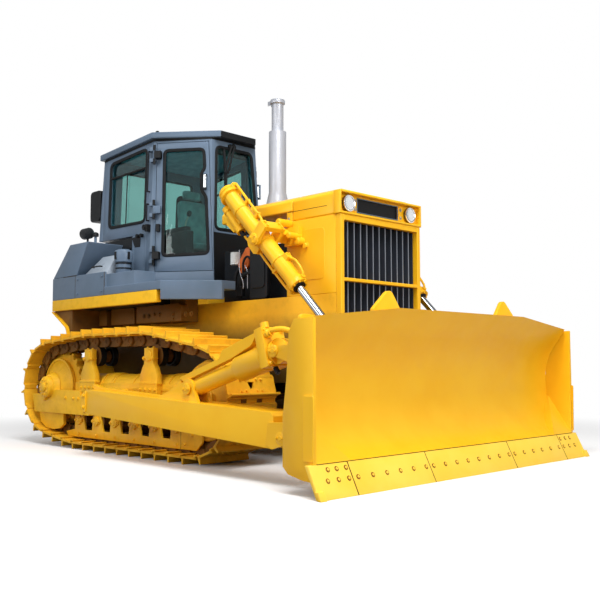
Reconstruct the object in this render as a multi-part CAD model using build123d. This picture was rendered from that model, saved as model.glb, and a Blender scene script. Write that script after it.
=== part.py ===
from build123d import *
import math
import os

# Crawler dozer with a straight blade, in millimetres.
# While it is built, x runs forward from the sprocket axle, y to the machine's left, z up from the ground.
# save() then moves every piece so that the origin lies under the middle of the machine.

# Driving sizes
gauge = 2000            # between the centres of the two tracks
wheelbase = 2730        # sprocket axle to idler axle
blade_reach = 2145      # idler axle to the tip of the end bits
blade_width = 3725      # over the end bits
hull_half_width = 560   # outside of the hull, hood and radiator guard
hood_height = 2400      # ground to the hood's edge
fender_top = 1700       # deck beside the cab, which carries the cab's walls
roof_height = 3405      # ground to the flat part of the cab roof
clearance = 0.3         # between pieces that sit together
running_gap = 0.05      # radial play of pins and rods
cab_floor_height = fender_top + clearance

# Track chain and shoes
shoe_width = 560
nominal_pitch = 215     # the link count is the whole number nearest to it
sprocket_teeth = 25     # the chain uses every other tooth gap
grouser_reach = 130     # chain pin to grouser tip
shoe_outside = 75       # chain pin to the outside of the shoe plate
shoe_inside = 50
rail_depth = 60         # chain pin to the surface that the rollers run on
rail_middle = 90        # track centre to the middle of one rail
rail_width = 50
bushing_radius = 33
grouser_width = 25
grouser_offset = 18     # pin to the grouser's near side
shoe_gap = 8

# Wheels inside the track: height and radii follow the chain
idler_pin_radius = 430
roller_pin_radius = 165
carrier_pin_radius = 155
top_run_height = 1134   # chain pins over the carrier rollers
sprocket_height = 640
roller_count = 6
first_roller = 560      # behind-most roller, from the sprocket axle
last_roller_back = 420  # front roller, behind the idler axle
carrier_stations = (815, wheelbase - 795)

# Track frame
frame_half_width = 150
frame_bottom = 420
frame_top = 700
frame_rear = 465
guard_front = wheelbase - 20
recoil_radius = 140     # spring housing on the frame
guard_thickness = 22

# Push arms, trunnions and their pins
trunnion_x = 1465
trunnion_height = 530
trunnion_radius = 70
arm_gap = 30            # track shoe to the arm's inner face
arm_width = 270
arm_rear_radius = 116
arm_pin_height = 352    # clevis pin at the blade
arm_pin_radius = 40
lug_x = 2985            # lower pin of the tilt cylinder and of the brace
lug_height = 685
lug_radius = 85
lug_pin_radius = 32

# Blade, with stations measured back from the tip of the end bits
edge_back = 22          # tip to the lower edge of the cutting edges
edge_height = 221
edge_lean = 111         # cutting edge's top behind its bottom
edge_thickness = 32
mold_depth = 376        # edge's lower line to the deepest part of the curve
upper_curve_radius = 590
upper_curve_height = 740
lower_curve_radius = 462
lower_curve_height = 640
blade_top = 1312
blade_top_back = 86     # edge's lower line to the top of the plate
blade_corner_height = 1213
blade_knee = 880        # half length of the raised middle of the top edge
plate_thickness = 25
blade_box_depth = 32    # deepest part of the curve to the flat back
end_plate_inset = 62.5  # blade's end to the outside of its end plates
end_plate_thickness = 30
end_bit_length = 393
edge_middle_half = 585  # half length of the middle cutting edge
lug_middle = 815        # lifting lugs on the blade's back: middle, top and distance from the tip
lug_top = 1455
lug_back = 289

# Lift cylinders
lift_x = 3195
lift_height = 2000
lift_side = 850
lift_eye_back = 520     # tip of the end bits to the rod's eye
lift_eye_height = 840
barrel_radius = 75
barrel_bore = 60
barrel_rear = 700       # pivot to the closed end
barrel_front = 637      # pivot to the gland
lift_rod_radius = 35
rod_tail = 200          # pivot to the piston at rest
eye_radius = 55
eye_width = 90
ear_gap = 110
ear_thickness = 30
trunnion_pin_radius = 35

# Hull, hood and radiator guard
rail_thickness = 60
hull_bottom = 720
hull_top = 1505
guard_rear = 3188
hood_front = 3865
hood_seam = 3265
hood_rear = 2240
hood_side_depth = 115
grille_depth = 60
lamp_panel_depth = 75
lamp_panel_bottom = 2195

# Cab plan: front corner, knee and rear corner of the right-hand half, at the roof and at the floor
cab_top_plan = ((1755, 310), (1235, 690), (325, 740))
cab_floor_plan = ((1855, 345), (1235, 740), (235, 790))
wall_thickness = 55
shelf_height = 2300     # underside of the rear overhang
shelf_front = 955
door_gap = 6
door_bottom = 1880
door_top = 3285
window_corner = 60
glass_thickness = 8
roof_thickness = 72
roof_drop = 85          # roof falls this far behind the knee

# Rear case, drawbar and the bolt holes for a rear tool
case_to_rail = 70       # rear case to the frame rail beside it
case_rear = -350
tool_bolt_side = 300
tool_bolt_low = 700
tool_bolt_rise = 450
tool_bolt_radius = 13
drawbar_pin_radius = 27

# Fenders
fender_inner = hull_half_width + 15
fender_outer = 1180
fender_rear = -37
fender_front = 2076
coaming_top = 1865
band_bottom = 1494
band_top = 1614
coaming_front = 1066

link_count = round((2 * wheelbase + 2 * math.pi * idler_pin_radius) / nominal_pitch)
idler_height = idler_pin_radius + grouser_reach
roller_height = roller_pin_radius + grouser_reach
carrier_height = top_run_height - carrier_pin_radius
blade_tip = wheelbase + blade_reach
end_plate_half = blade_width / 2 - end_plate_inset
track_middle = gauge / 2
case_half_width = hull_half_width - rail_thickness - case_to_rail


# ---- plain shapes ----

def block(x0, x1, y0, y1, z0, z1):
    return Pos((x0 + x1) / 2, (y0 + y1) / 2, (z0 + z1) / 2) * Box(x1 - x0, y1 - y0, z1 - z0)


def side_plate(outline, y0, y1):
    # outline in x and z, drawn out from y0 to y1
    face = make_face(Polyline(*[(x, y0, z) for x, z in outline], close=True))
    return extrude(face, amount=y1 - y0, dir=(0, 1, 0))


def plan_plate(outline, z0, z1):
    face = make_face(Polyline(*[(x, y, z0) for x, y in outline], close=True))
    return extrude(face, amount=z1 - z0, dir=(0, 0, 1))


def cross_plate(outline, x0, x1):
    # outline in y and z, drawn out from x0 to x1
    face = make_face(Polyline(*[(x0, y, z) for y, z in outline], close=True))
    return extrude(face, amount=x1 - x0, dir=(1, 0, 0))


def axle(x, z, radius, y0, y1):
    return Pos(x, (y0 + y1) / 2, z) * Rot(90, 0, 0) * Cylinder(radius, y1 - y0)


def bar(start, end, radius):
    start, end = Vector(start), Vector(end)
    along = end - start
    return Plane(origin=start + along * 0.5, z_dir=along) * Cylinder(radius, along.length)


def wheel(x, z, profile):
    # profile of (y, radius) steps, turned about an axle along y
    outline = [(profile[0][0], 0)] + list(profile) + [(profile[-1][0], 0)]
    face = make_face(Polyline(*[(x, y, z + r) for y, r in outline], close=True))
    return revolve(face, Axis((x, 0, z), (0, 1, 0)))


def mirrored(shape):
    return mirror(shape, about=Plane.XZ)


def both(shape):
    return [shape, mirrored(shape)]


def on_both_sides(shapes):
    return [copy for shape in shapes for copy in both(shape)]


# ---- the chain's path: straight runs and arcs around five circles ----

def belt_runs(sprocket_radius):
    circles = [
        (0, sprocket_height, sprocket_radius),
        (first_roller, roller_height, roller_pin_radius),
        (wheelbase, idler_height, idler_pin_radius),
        (carrier_stations[1], carrier_height, carrier_pin_radius),
        (carrier_stations[0], carrier_height, carrier_pin_radius),
    ]
    normals = []
    for i, (x, z, r) in enumerate(circles):
        next_x, next_z, next_r = circles[(i + 1) % len(circles)]
        heading = math.atan2(next_z - z, next_x - x)
        spread = math.acos((r - next_r) / math.hypot(next_x - x, next_z - z))
        normals.append(heading - spread)
    runs = []
    for i, (x, z, r) in enumerate(circles):
        turn = (normals[i] - normals[i - 1]) % (2 * math.pi)
        runs.append(("arc", x, z, r, normals[i - 1], turn, r * turn))
        next_x, next_z, next_r = circles[(i + 1) % len(circles)]
        start = (x + r * math.cos(normals[i]), z + r * math.sin(normals[i]))
        end = (next_x + next_r * math.cos(normals[i]), next_z + next_r * math.sin(normals[i]))
        runs.append(("line", *start, *end, 0, math.dist(start, end)))
    return runs


def solve_sprocket():
    # the sprocket's pitch radius and the link pitch depend on each other
    radius = idler_pin_radius
    for _ in range(30):
        pitch = sum(run[-1] for run in belt_runs(radius)) / link_count
        radius = pitch * sprocket_teeth / (4 * math.pi)
    return radius, pitch


sprocket_pin_radius, link_pitch = solve_sprocket()


def belt_point(distance):
    runs = belt_runs(sprocket_pin_radius)
    distance %= link_pitch * link_count
    for kind, a, b, c, d, turn, length in runs:
        if distance <= length:
            break
        distance -= length
    if kind == "arc":
        angle = d + turn * distance / length
        return a + c * math.cos(angle), b + c * math.sin(angle)
    share = distance / length
    return a + (c - a) * share, b + (d - b) * share


pins = [belt_point(i * link_pitch) for i in range(link_count)]


def belt_outline(outward):
    # the pin polygon moved outward by a distance, with mitred corners
    outline = []
    for i, (x, z) in enumerate(pins):
        before, after = pins[i - 1], pins[(i + 1) % link_count]
        first = math.atan2(z - before[1], x - before[0])
        second = math.atan2(after[1] - z, after[0] - x)
        half = ((second - first + math.pi) % (2 * math.pi) - math.pi) / 2
        normal = first + half - math.pi / 2
        reach = outward / math.cos(half)
        outline.append((x + reach * math.cos(normal), z + reach * math.sin(normal)))
    return outline


def room_inside_belt(x, z):
    # largest radius about a point that stays inside the rails
    outline = belt_outline(-rail_depth)
    smallest = math.inf
    for i, (ax, az) in enumerate(outline):
        bx, bz = outline[(i + 1) % link_count]
        length = math.hypot(bx - ax, bz - az)
        along = ((x - ax) * (bx - ax) + (z - az) * (bz - az)) / length
        along = min(max(along, 0), length)
        share = along / length
        smallest = min(smallest, math.hypot(ax + (bx - ax) * share - x, az + (bz - az) * share - z))
    return smallest


roller_stations = [
    first_roller + i * (wheelbase - last_roller_back - first_roller) / (roller_count - 1)
    for i in range(roller_count)
]
idler_radius = room_inside_belt(wheelbase, idler_height) - clearance
frame_front = wheelbase - idler_radius - 40
roller_radius = min(room_inside_belt(x, roller_height) for x in roller_stations) - clearance
carrier_radius = min(room_inside_belt(x, carrier_height) for x in carrier_stations) - clearance


# ---- undercarriage, each piece built for the left track ----

def track():
    half_rail = rail_width / 2
    outer, inner = belt_outline(shoe_inside + 5), belt_outline(-rail_depth)
    shapes = []
    for side in (-1, 1):
        middle = track_middle + side * rail_middle
        rail = side_plate(outer, middle - half_rail, middle + half_rail)
        shapes.append(rail - side_plate(inner, middle - half_rail, middle + half_rail))
    reach = rail_middle - half_rail
    for i, (x, z) in enumerate(pins):
        next_x, next_z = pins[(i + 1) % link_count]
        length = math.hypot(next_x - x, next_z - z)
        along = ((next_x - x) / length, (next_z - z) / length)
        outward = (along[1], -along[0])

        def place(t, n):
            return x + along[0] * t + outward[0] * n, z + along[1] * t + outward[1] * n

        shoe = [
            place(shoe_gap / 2, shoe_inside),
            place(length - shoe_gap / 2, shoe_inside),
            place(length - shoe_gap / 2, shoe_outside),
            place(grouser_offset + grouser_width, shoe_outside),
            place(grouser_offset + grouser_width, grouser_reach),
            place(grouser_offset, grouser_reach),
            place(grouser_offset, shoe_outside),
            place(shoe_gap / 2, shoe_outside),
        ]
        shapes.append(side_plate(shoe, track_middle - shoe_width / 2, track_middle + shoe_width / 2))
        shapes.append(axle(x, z, bushing_radius, track_middle - reach, track_middle + reach))
    return shapes[0].fuse(*shapes[1:])


def sprocket():
    half = rail_middle - rail_width / 2 - 10
    disc = axle(0, sprocket_height, sprocket_pin_radius + 8, track_middle - half, track_middle + half)
    bore = axle(0, sprocket_height, hub_neck_radius + clearance, track_middle - half, track_middle + half)
    cuts = []
    start = math.atan2(pins[0][1] - sprocket_height, pins[0][0])
    for i in range(sprocket_teeth):
        angle = start + i * 2 * math.pi / sprocket_teeth
        x = sprocket_pin_radius * math.cos(angle)
        z = sprocket_height + sprocket_pin_radius * math.sin(angle)
        cuts.append(axle(x, z, bushing_radius + 3, track_middle - half, track_middle + half))
    for x, z in pins:
        if math.hypot(x, z - sprocket_height) < sprocket_pin_radius * 1.3:
            cuts.append(axle(x, z, bushing_radius + 3, track_middle - half, track_middle + half))
    return disc - bore - cuts


hub_neck_radius = 200
final_drive_radius = 335
end_cap_radius = 118
end_cap_face = track_middle + 275
bearing_radius = 170     # housing round the final drive's outer end


def final_drive():
    # housing inside the track, neck through the sprocket, cone and bolted cap outside
    neck = rail_middle - rail_width / 2
    rail_edge = rail_middle + rail_width / 2
    profile = [
        (case_half_width, final_drive_radius),
        (track_middle - rail_edge - 20, final_drive_radius),
        (track_middle - neck, hub_neck_radius),
        (track_middle + neck - 10, hub_neck_radius),
        (track_middle + neck - 5, final_drive_radius - 20),
        (track_middle + neck + 20, final_drive_radius - 20),
        (outrigger_inner - 5, bearing_radius + 5),
        (outrigger_inner - 5, end_cap_radius),
        (end_cap_face, end_cap_radius),
    ]
    return wheel(0, sprocket_height, profile)


def idler():
    flange = rail_middle - rail_width / 2 - 10
    tread = rail_middle + rail_width / 2 - 5
    hub = frame_half_width - guard_thickness - clearance
    bushing_room = idler_pin_radius * math.cos(math.pi / sprocket_teeth) - bushing_radius - 12
    profile = [
        (-hub, 70), (-hub, 110), (-tread, 110), (-tread, 300), (-tread, idler_radius),
        (-flange, idler_radius), (-flange, bushing_room), (flange, bushing_room), (flange, idler_radius),
        (tread, idler_radius), (tread, 300), (tread, 110), (hub, 110), (hub, 70),
    ]
    return wheel(wheelbase, idler_height, [(track_middle + y, r) for y, r in profile])


def rollers():
    tread = rail_middle + rail_width / 2 + 2
    flange_radius = roller_radius + 12
    flange = tread + 8
    end = frame_half_width - guard_thickness - clearance
    shapes = []
    for x in roller_stations:
        profile = [
            (-end, 45), (-flange, 45), (-flange, flange_radius), (-tread, flange_radius),
            (-tread, roller_radius),
            (tread, roller_radius), (tread, flange_radius), (flange, flange_radius), (flange, 45), (end, 45),
        ]
        shapes.append(wheel(x, roller_height, [(track_middle + y, r) for y, r in profile]))
    return shapes


post_inner = frame_half_width + clearance
post_outer = 205


def carrier_rollers():
    tread = rail_middle + rail_width / 2
    shapes = []
    for x in carrier_stations:
        profile = [
            (-tread, carrier_radius), (-40, carrier_radius), (-40, carrier_radius - 25), (40, carrier_radius - 25),
            (40, carrier_radius), (tread, carrier_radius), (tread, 40), (post_inner, 40),
        ]
        shapes.append(wheel(x, carrier_height, [(track_middle + y, r) for y, r in profile]))
    return shapes


def carrier_supports():
    # a bolted foot on the frame's side, a post and a split clamp round the roller's shaft
    shapes = []
    for x in carrier_stations:
        y0, y1 = track_middle + post_inner, track_middle + post_outer
        foot = side_plate([
            (x - 140, 560), (x + 140, 560), (x + 140, 790), (x + 105, 860), (x + 75, 900), (x + 75, 1050),
            (x - 75, 1050), (x - 75, 900), (x - 105, 860), (x - 140, 790),
        ], y0, y1)
        shapes.append(foot)
    return shapes


def track_frame():
    box = block(frame_rear, frame_front, track_middle - frame_half_width, track_middle + frame_half_width,
                frame_bottom, frame_top)
    spring_height = frame_top - 45
    housing = bar((frame_rear + 180, track_middle, spring_height), (frame_front - 70, track_middle, spring_height),
                  recoil_radius)
    shape = box + housing
    for side in (-1, 1):
        edge = track_middle + side * frame_half_width
        inner = edge - side * guard_thickness
        shape += block(frame_front, wheelbase + 110, min(edge, inner), max(edge, inner), 490, 630)
    return shape


outrigger_inner = track_middle + 170
outrigger_outer = outrigger_inner + 58


def outrigger():
    # bar outside the chain that carries the final drive's outer end, with the round guard under it
    bar_top, bar_bottom, bar_front = 558, 357, 880
    plate = side_plate([
        (-310, bar_bottom), (-370, bar_top), (-bearing_radius, bar_top), (700, bar_top), (bar_front, bar_top),
        (bar_front, bar_bottom),
    ], outrigger_inner, outrigger_outer)
    cone = [(outrigger_inner, bearing_radius), (outrigger_outer, end_cap_radius + 14)]
    plate += wheel(0, sprocket_height, cone)
    plate += block(bearing_radius - 60, 700, outrigger_inner, outrigger_outer, bar_top, bar_top + 54)
    guard = side_plate([
        (-240, bar_bottom), (-200, 245), (-75, 187), (87, 174), (230, 190), (312, 239), (308, bar_bottom),
    ], outrigger_inner, outrigger_outer - 25)
    frame_side = track_middle + frame_half_width
    spacer = block(frame_rear, bar_front, frame_side, outrigger_inner, bar_bottom + 63, bar_top)
    saddle = axle(0, sprocket_height, end_cap_radius + clearance, outrigger_inner - 5, outrigger_outer + 5)
    return plate + guard + spacer - saddle


def roller_guards():
    # a strip along the chain's side, hung from the frame by a leg at every roller
    shapes = []
    top, strip_top, bottom = frame_bottom - clearance, 195, 112
    pitch = roller_stations[1] - roller_stations[0]
    for side in (-1, 1):
        near, far = sorted(track_middle + side * (frame_half_width - depth) for depth in (0, guard_thickness))
        plate = side_plate([
            (frame_rear - 180, bottom + 50), (frame_rear - 140, bottom), (guard_front - 90, bottom),
            (guard_front, 190), (guard_front, 330), (guard_front - 130, top), (frame_rear, top),
            (frame_rear, strip_top),
        ], near, far)
        for x in roller_stations[:-1]:
            middle = x + pitch / 2
            plate -= side_plate([
                (middle - 45, strip_top), (middle + 85, strip_top), (middle + 105, 370), (middle - 105, 370),
            ], near - 1, far + 1)
        shapes.append(plate)
    return shapes


def trunnion():
    # stub on the frame's side that the push arm turns on
    inner = track_middle + frame_half_width
    boss = axle(trunnion_x, trunnion_height, 115, inner, arm_inner - 5)
    pin = axle(trunnion_x, trunnion_height, trunnion_radius, inner, arm_outer - 40)
    return boss + pin


arm_inner = track_middle + shoe_width / 2 + arm_gap
arm_outer = arm_inner + arm_width
arm_middle = (arm_inner + arm_outer) / 2


# ---- blade and its arms ----

edge_x = blade_tip - edge_back              # lower edge of the cutting edges
mold_x = edge_x - mold_depth                # deepest part of the curve
blade_back = mold_x - blade_box_depth       # flat back of the box behind the plate
arm_pin_x = blade_back - 251
eye_x = blade_tip - lift_eye_back
ball_x = blade_back - 385                   # upper end of the tilt cylinder
ball_height = 992


def push_arm():
    top_front, bottom_front = 536, 267
    arm_end = arm_pin_x - 85
    body = side_plate([
        (trunnion_x, trunnion_height + arm_rear_radius), (arm_end - 30, top_front),
        (arm_end, top_front - 30), (arm_end, bottom_front + 5), (arm_end - 30, bottom_front),
        (trunnion_x, trunnion_height - arm_rear_radius),
    ], arm_inner, arm_outer)
    rear = axle(trunnion_x, trunnion_height, arm_rear_radius, arm_inner, arm_outer)
    tongue_half = 65
    tongue = side_plate([
        (arm_end - 10, top_front - 90), (arm_end - 10, bottom_front + 8), (arm_pin_x, arm_pin_height - 80),
        (arm_pin_x, arm_pin_height + 80),
    ], arm_middle - tongue_half, arm_middle + tongue_half)
    tongue += axle(arm_pin_x, arm_pin_height, 80, arm_middle - tongue_half, arm_middle + tongue_half)
    shape = body + rear + tongue
    for side in (-1, 1):
        near = arm_middle + side * lug_gap / 2
        far = near + side * 32
        low, high = min(near, far), max(near, far)
        ear = side_plate([
            (lug_x - 500, 575), (lug_x - 65, lug_height + 55), (lug_x, lug_height),
            (lug_x + lug_radius, lug_height - 10), (lug_x + 150, 550),
        ], low, high)
        shape += ear + axle(lug_x, lug_height, lug_radius, low, high)
    bore = axle(trunnion_x, trunnion_height, trunnion_radius + running_gap, arm_inner - 1, arm_outer - 35)
    lug_bore = axle(lug_x, lug_height, lug_pin_radius, arm_inner, arm_outer)
    pin_bore = axle(arm_pin_x, arm_pin_height, arm_pin_radius, arm_inner, arm_outer)
    return shape - bore - lug_bore - pin_bore


ball_radius = 98
cheek_radius = 40
lug_gap = 96
strut_neck_radius = 41
flange_share = 0.91      # of the way from the lug to the ball
flange_thickness = 86


def strut_point(distance, side=1):
    # a point on the line from the arm's lug to the blade's ball
    length = math.hypot(ball_x - lug_x, ball_height - lug_height)
    share = distance / length
    height = lug_height + (ball_height - lug_height) * share
    return lug_x + (ball_x - lug_x) * share, side * arm_middle, height


strut_length = math.hypot(ball_x - lug_x, ball_height - lug_height)


def strut_lower_eye():
    half = lug_gap / 2 - 5
    eye = axle(lug_x, lug_height, 62, arm_middle - half, arm_middle + half)
    pin_half = lug_gap / 2 + 42
    pin = axle(lug_x, lug_height, lug_pin_radius - running_gap, arm_middle - pin_half, arm_middle + pin_half)
    return eye + pin


def tilt_cylinder():
    # lower eye, long sleeve, barrel, square flange and upper knuckle, on the right-hand arm
    shape = strut_lower_eye()
    shape += bar(strut_point(20), strut_point(120), strut_neck_radius)
    shape += bar(strut_point(100), strut_point(strut_length * 0.58), 68)
    shape += bar(strut_point(strut_length * 0.56), strut_point(strut_length * flange_share), 104)
    along = Vector(*strut_point(1)) - Vector(*strut_point(0))
    flange = Plane(origin=strut_point(strut_length * flange_share), x_dir=(0, 1, 0), z_dir=along)
    shape += flange * Pos(0, 55, 0) * Box(230, 310, flange_thickness)
    shape += bar(strut_point(strut_length * 0.84), strut_point(strut_length - 20), strut_neck_radius)
    shape += axle(ball_x, ball_height, ball_radius, arm_middle - 45, arm_middle + 45)
    return mirrored(shape)


def brace():
    # screw brace on the left-hand arm
    shape = strut_lower_eye()
    shape += bar(strut_point(20), strut_point(strut_length - 20), strut_neck_radius)
    shape += bar(strut_point(strut_length * 0.25), strut_point(strut_length * 0.75), 65)
    shape += axle(ball_x, ball_height, ball_radius, arm_middle - 45, arm_middle + 45)
    return shape


def blade_curve():
    # front of the moldboard from the cutting edge to the top, as an outline in x and z
    edge_top = (edge_x - edge_lean, edge_height)
    lower_middle = math.asin((lower_curve_height - edge_height) / lower_curve_radius) / 2
    lower_mid = (mold_x + lower_curve_radius * (1 - math.cos(lower_middle)),
                 lower_curve_height - lower_curve_radius * math.sin(lower_middle))
    # the upper arc ends where its tangent meets the top edge
    reach = edge_x - blade_top_back - mold_x - upper_curve_radius
    rise = blade_top - upper_curve_height
    upper_end = math.pi - math.atan2(rise, reach) - math.acos(upper_curve_radius / math.hypot(rise, reach))
    upper_mid = (mold_x + upper_curve_radius * (1 - math.cos(upper_end / 2)),
                 upper_curve_height + upper_curve_radius * math.sin(upper_end / 2))
    upper_top = (mold_x + upper_curve_radius * (1 - math.cos(upper_end)),
                 upper_curve_height + upper_curve_radius * math.sin(upper_end))
    lower_end, upper_start = (mold_x, lower_curve_height), (mold_x, upper_curve_height)
    return edge_top, lower_mid, lower_end, upper_start, upper_mid, upper_top


def moldboard(half):
    edge_top, lower_mid, lower_end, upper_start, upper_mid, upper_top = [
        (x, -half, z) for x, z in blade_curve()
    ]
    top_x = edge_x - blade_top_back
    lean = edge_lean / edge_height
    seat = edge_thickness * math.hypot(1, lean) + clearance
    flange_foot = 80
    foot_x = edge_x - lean * flange_foot - seat
    front = [
        ThreePointArc(edge_top, lower_mid, lower_end),
        Line(lower_end, upper_start),
        ThreePointArc(upper_start, upper_mid, upper_top),
    ]
    back = Polyline(
        upper_top, (top_x, -half, blade_top), (top_x - plate_thickness, -half, blade_top),
        (top_x - 130 - plate_thickness, -half, blade_top - 152), (blade_back + 75, -half, 1150),
        (blade_back + 61, -half, 1118),
        (blade_back + 8, -half, upper_curve_height), (blade_back, -half, 530), (blade_back, -half, 240),
        (foot_x - 45, -half, flange_foot), (foot_x, -half, flange_foot),
        (edge_top[0] - seat, -half, edge_height), edge_top,
    )
    body = extrude(make_face([*front, *back.edges()]), amount=2 * half, dir=(0, 1, 0))
    corner = half + 10
    outline = [
        (-corner, 0), (corner, 0), (corner, blade_corner_height), (blade_knee, blade_top + 0.5),
        (-blade_knee, blade_top + 0.5), (-corner, blade_corner_height),
    ]
    return body & cross_plate(outline, blade_back - 10, blade_tip)


def blade():
    inner_half = end_plate_half - end_plate_thickness
    shape = moldboard(inner_half)
    plate_front = edge_x - edge_lean - 5
    end_outline = [
        (blade_back - 3, 190), (blade_back - 3, 520), (blade_back + 36, 796), (blade_back + 58, 1118),
        (blade_back + 110, 1206), (plate_front, 1210),
        (plate_front, edge_height), (edge_x - edge_lean - 38, edge_height), (edge_x - 88, 100),
        (blade_back + 190, 110), (blade_back + 50, 140),
    ]
    for side in (-1, 1):
        ends = (side * inner_half, side * end_plate_half)
        shape += side_plate(end_outline, min(ends), max(ends))
        # folded corner plate between the curve and the end plate
        corner = [
            (inner_half - 345, edge_height + 4), (inner_half, edge_height + 4), (inner_half, 576),
        ]
        wedge = cross_plate([(side * y, z) for y, z in corner], mold_x - 5, edge_x - edge_lean)
        slope = side_plate([
            (mold_x - 10, 590), (mold_x + 15, 590), (edge_x - edge_lean, edge_height + 4),
            (mold_x - 10, edge_height + 4),
        ], min(0, side * inner_half), max(0, side * inner_half))
        shape += wedge & slope
        # brackets for the push arm
        for y in (arm_middle - 65 - 8 - 52, arm_middle + 65 + 8):
            near, far = sorted((side * y, side * (y + 52)))
            bracket = side_plate([
                (arm_pin_x, arm_pin_height + 72), (blade_back + 5, arm_pin_height + 150),
                (blade_back + 5, arm_pin_height - 110), (arm_pin_x, arm_pin_height - 72),
            ], near, far)
            bracket += axle(arm_pin_x, arm_pin_height, 72, near, far)
            shape += bracket - axle(arm_pin_x, arm_pin_height, arm_pin_radius, near, far)
        # socket for the tilt cylinder or the brace
        for y in (arm_middle - 50 - 40, arm_middle + 50):
            near, far = sorted((side * y, side * (y + 40)))
            shape += axle(ball_x, ball_height, cheek_radius, near, far)
            shape += side_plate([
                (ball_x, ball_height + cheek_radius), (blade_back + 56, ball_height + 60),
                (blade_back + 28, ball_height - 150), (ball_x, ball_height - cheek_radius),
            ], near, far)
        # ears for the lift rod, left open between them for the rod's eye
        for y in (lift_side - ear_gap / 2 - ear_thickness, lift_side + ear_gap / 2):
            near, far = sorted((side * y, side * (y + ear_thickness)))
            ear = side_plate([
                (eye_x, lift_eye_height + 85), (blade_back + 55, lift_eye_height + 180),
                (blade_back + 15, lift_eye_height - 180), (eye_x, lift_eye_height - 85),
            ], near, far)
            shape += ear + axle(eye_x, lift_eye_height, 85, near, far)
        # lifting lug: a tall plate on the back with one gusset to the plate in front of it
        lug_x0, lug_x1 = blade_tip - lug_back - 17, blade_tip - lug_back + 17
        lug = cross_plate([
            (side * (lug_middle - 160), 1080), (side * (lug_middle + 200), 1080),
            (side * (lug_middle + 190), 1310),
            (side * (lug_middle + 36), lug_top - 14), (side * (lug_middle + 12), lug_top),
            (side * (lug_middle - 12), lug_top), (side * (lug_middle - 36), lug_top - 14),
            (side * (lug_middle - 138), 1310),
        ], lug_x0, lug_x1)
        gusset = side_plate([
            (lug_x1 - 2, 1100), (lug_x1 - 2, 1300), (edge_x - blade_top_back - plate_thickness + 4, 1290),
            (blade_tip - lug_back + 60, 1190),
        ], *sorted((side * (lug_middle - 15), side * (lug_middle + 15))))
        lug += gusset
        shape += lug
    return shape


def cutting_plate(y0, y1, low, high, thickness):
    # a flat plate lying along the leaning edge, from height low to height high
    lean = edge_lean / edge_height
    back = thickness * math.hypot(edge_lean, edge_height) / edge_height
    return side_plate([
        (edge_x - lean * low, low), (edge_x - lean * high, high), (edge_x - lean * high - back, high),
        (edge_x - lean * low - back, low),
    ], y0, y1)


edge_half = blade_width / 2 - end_bit_length


def cutting_edges():
    # three bolted segments, held just in front of the moldboard's lower flange
    joint = 3
    ends = [-edge_half, -edge_middle_half, edge_middle_half, edge_half]
    return [
        cutting_plate(near + joint / 2, far - joint / 2, 0, edge_height - clearance, edge_thickness)
        for near, far in zip(ends, ends[1:])
    ]


def end_bits():
    bit = cutting_plate(edge_half + 1.5, blade_width / 2 - 10, 0, edge_height - clearance, edge_thickness)
    tip = cutting_plate(blade_width / 2 - 60, blade_width / 2, 0, 60, edge_thickness)
    return Pos(edge_back, 0, 0) * tip + bit


def arm_pin():
    # clevis pin through the blade's bracket and the arm's tongue
    return axle(arm_pin_x, arm_pin_height, arm_pin_radius - running_gap, arm_middle - 140, arm_middle + 140)


# ---- lift cylinders ----

lift_angle = math.atan2(lift_eye_height - lift_height, eye_x - lift_x)
lift_length = math.hypot(eye_x - lift_x, lift_eye_height - lift_height)


def lift_point(distance, offset=0):
    return (lift_x + distance * math.cos(lift_angle) - offset * math.sin(lift_angle), lift_side,
            lift_height + distance * math.sin(lift_angle) + offset * math.cos(lift_angle))


def lift_barrel():
    tube = bar(lift_point(-barrel_rear), lift_point(barrel_front), barrel_radius)
    tube += bar(lift_point(-barrel_rear - 20), lift_point(-barrel_rear + 60), barrel_radius + 15)
    tube += bar(lift_point(barrel_front - 70), lift_point(barrel_front), barrel_radius + 12)
    half = barrel_radius + 60
    tube += axle(lift_x, lift_height, trunnion_pin_radius, lift_side - half, lift_side + half)
    tube += axle(lift_x, lift_height, trunnion_pin_radius + 20, lift_side - barrel_radius - 8,
                 lift_side + barrel_radius + 8)
    bore = bar(lift_point(-barrel_rear + 40), lift_point(barrel_front - 60), barrel_bore)
    gland = bar(lift_point(barrel_front - 80), lift_point(barrel_front + 1), lift_rod_radius + running_gap)
    return tube - bore - gland


def lift_rod():
    rod = bar(lift_point(rod_tail), lift_point(lift_length - 30), lift_rod_radius)
    rod += bar(lift_point(rod_tail - 30), lift_point(rod_tail + 30), barrel_bore - running_gap)
    rod += axle(eye_x, lift_eye_height, eye_radius, lift_side - eye_width / 2, lift_side + eye_width / 2)
    return rod


def lift_plate(half, low, high, near, far):
    # plate square to the lift cylinder, half to each side of its pivot, low to high above it
    corners = [(-half, low), (half, low), (half, high), (-half, high)]
    return side_plate([lift_point(*corner)[::2] for corner in corners], near, far)


def lift_yoke():
    # fork round the barrel, bolted to the side of the radiator guard
    shape = None
    for side in (-1, 1):
        near = lift_side + side * (barrel_radius + 14)
        far = near + side * 34
        low, high = min(near, far), max(near, far)
        cheek = axle(lift_x, lift_height, 62, low, high)
        cheek += lift_plate(48, 20, 172, low, high)
        shape = cheek if shape is None else shape + cheek
    reach = barrel_radius + 14 + 34
    shape += lift_plate(48, 128, 172, lift_side - reach, lift_side + reach)
    shape += lift_plate(45, 20, 120, hull_half_width + clearance, lift_side - reach + 1)
    shape += block(lift_x + 20, lift_x + 200, hull_half_width + clearance, hull_half_width + 55,
                   lift_height - 40, lift_height + 130)
    bore_half = reach + 20
    bores = axle(lift_x, lift_height, trunnion_pin_radius + running_gap, lift_side - bore_half, lift_side + bore_half)
    return shape - bores


# ---- hull, engine and hood ----

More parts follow.
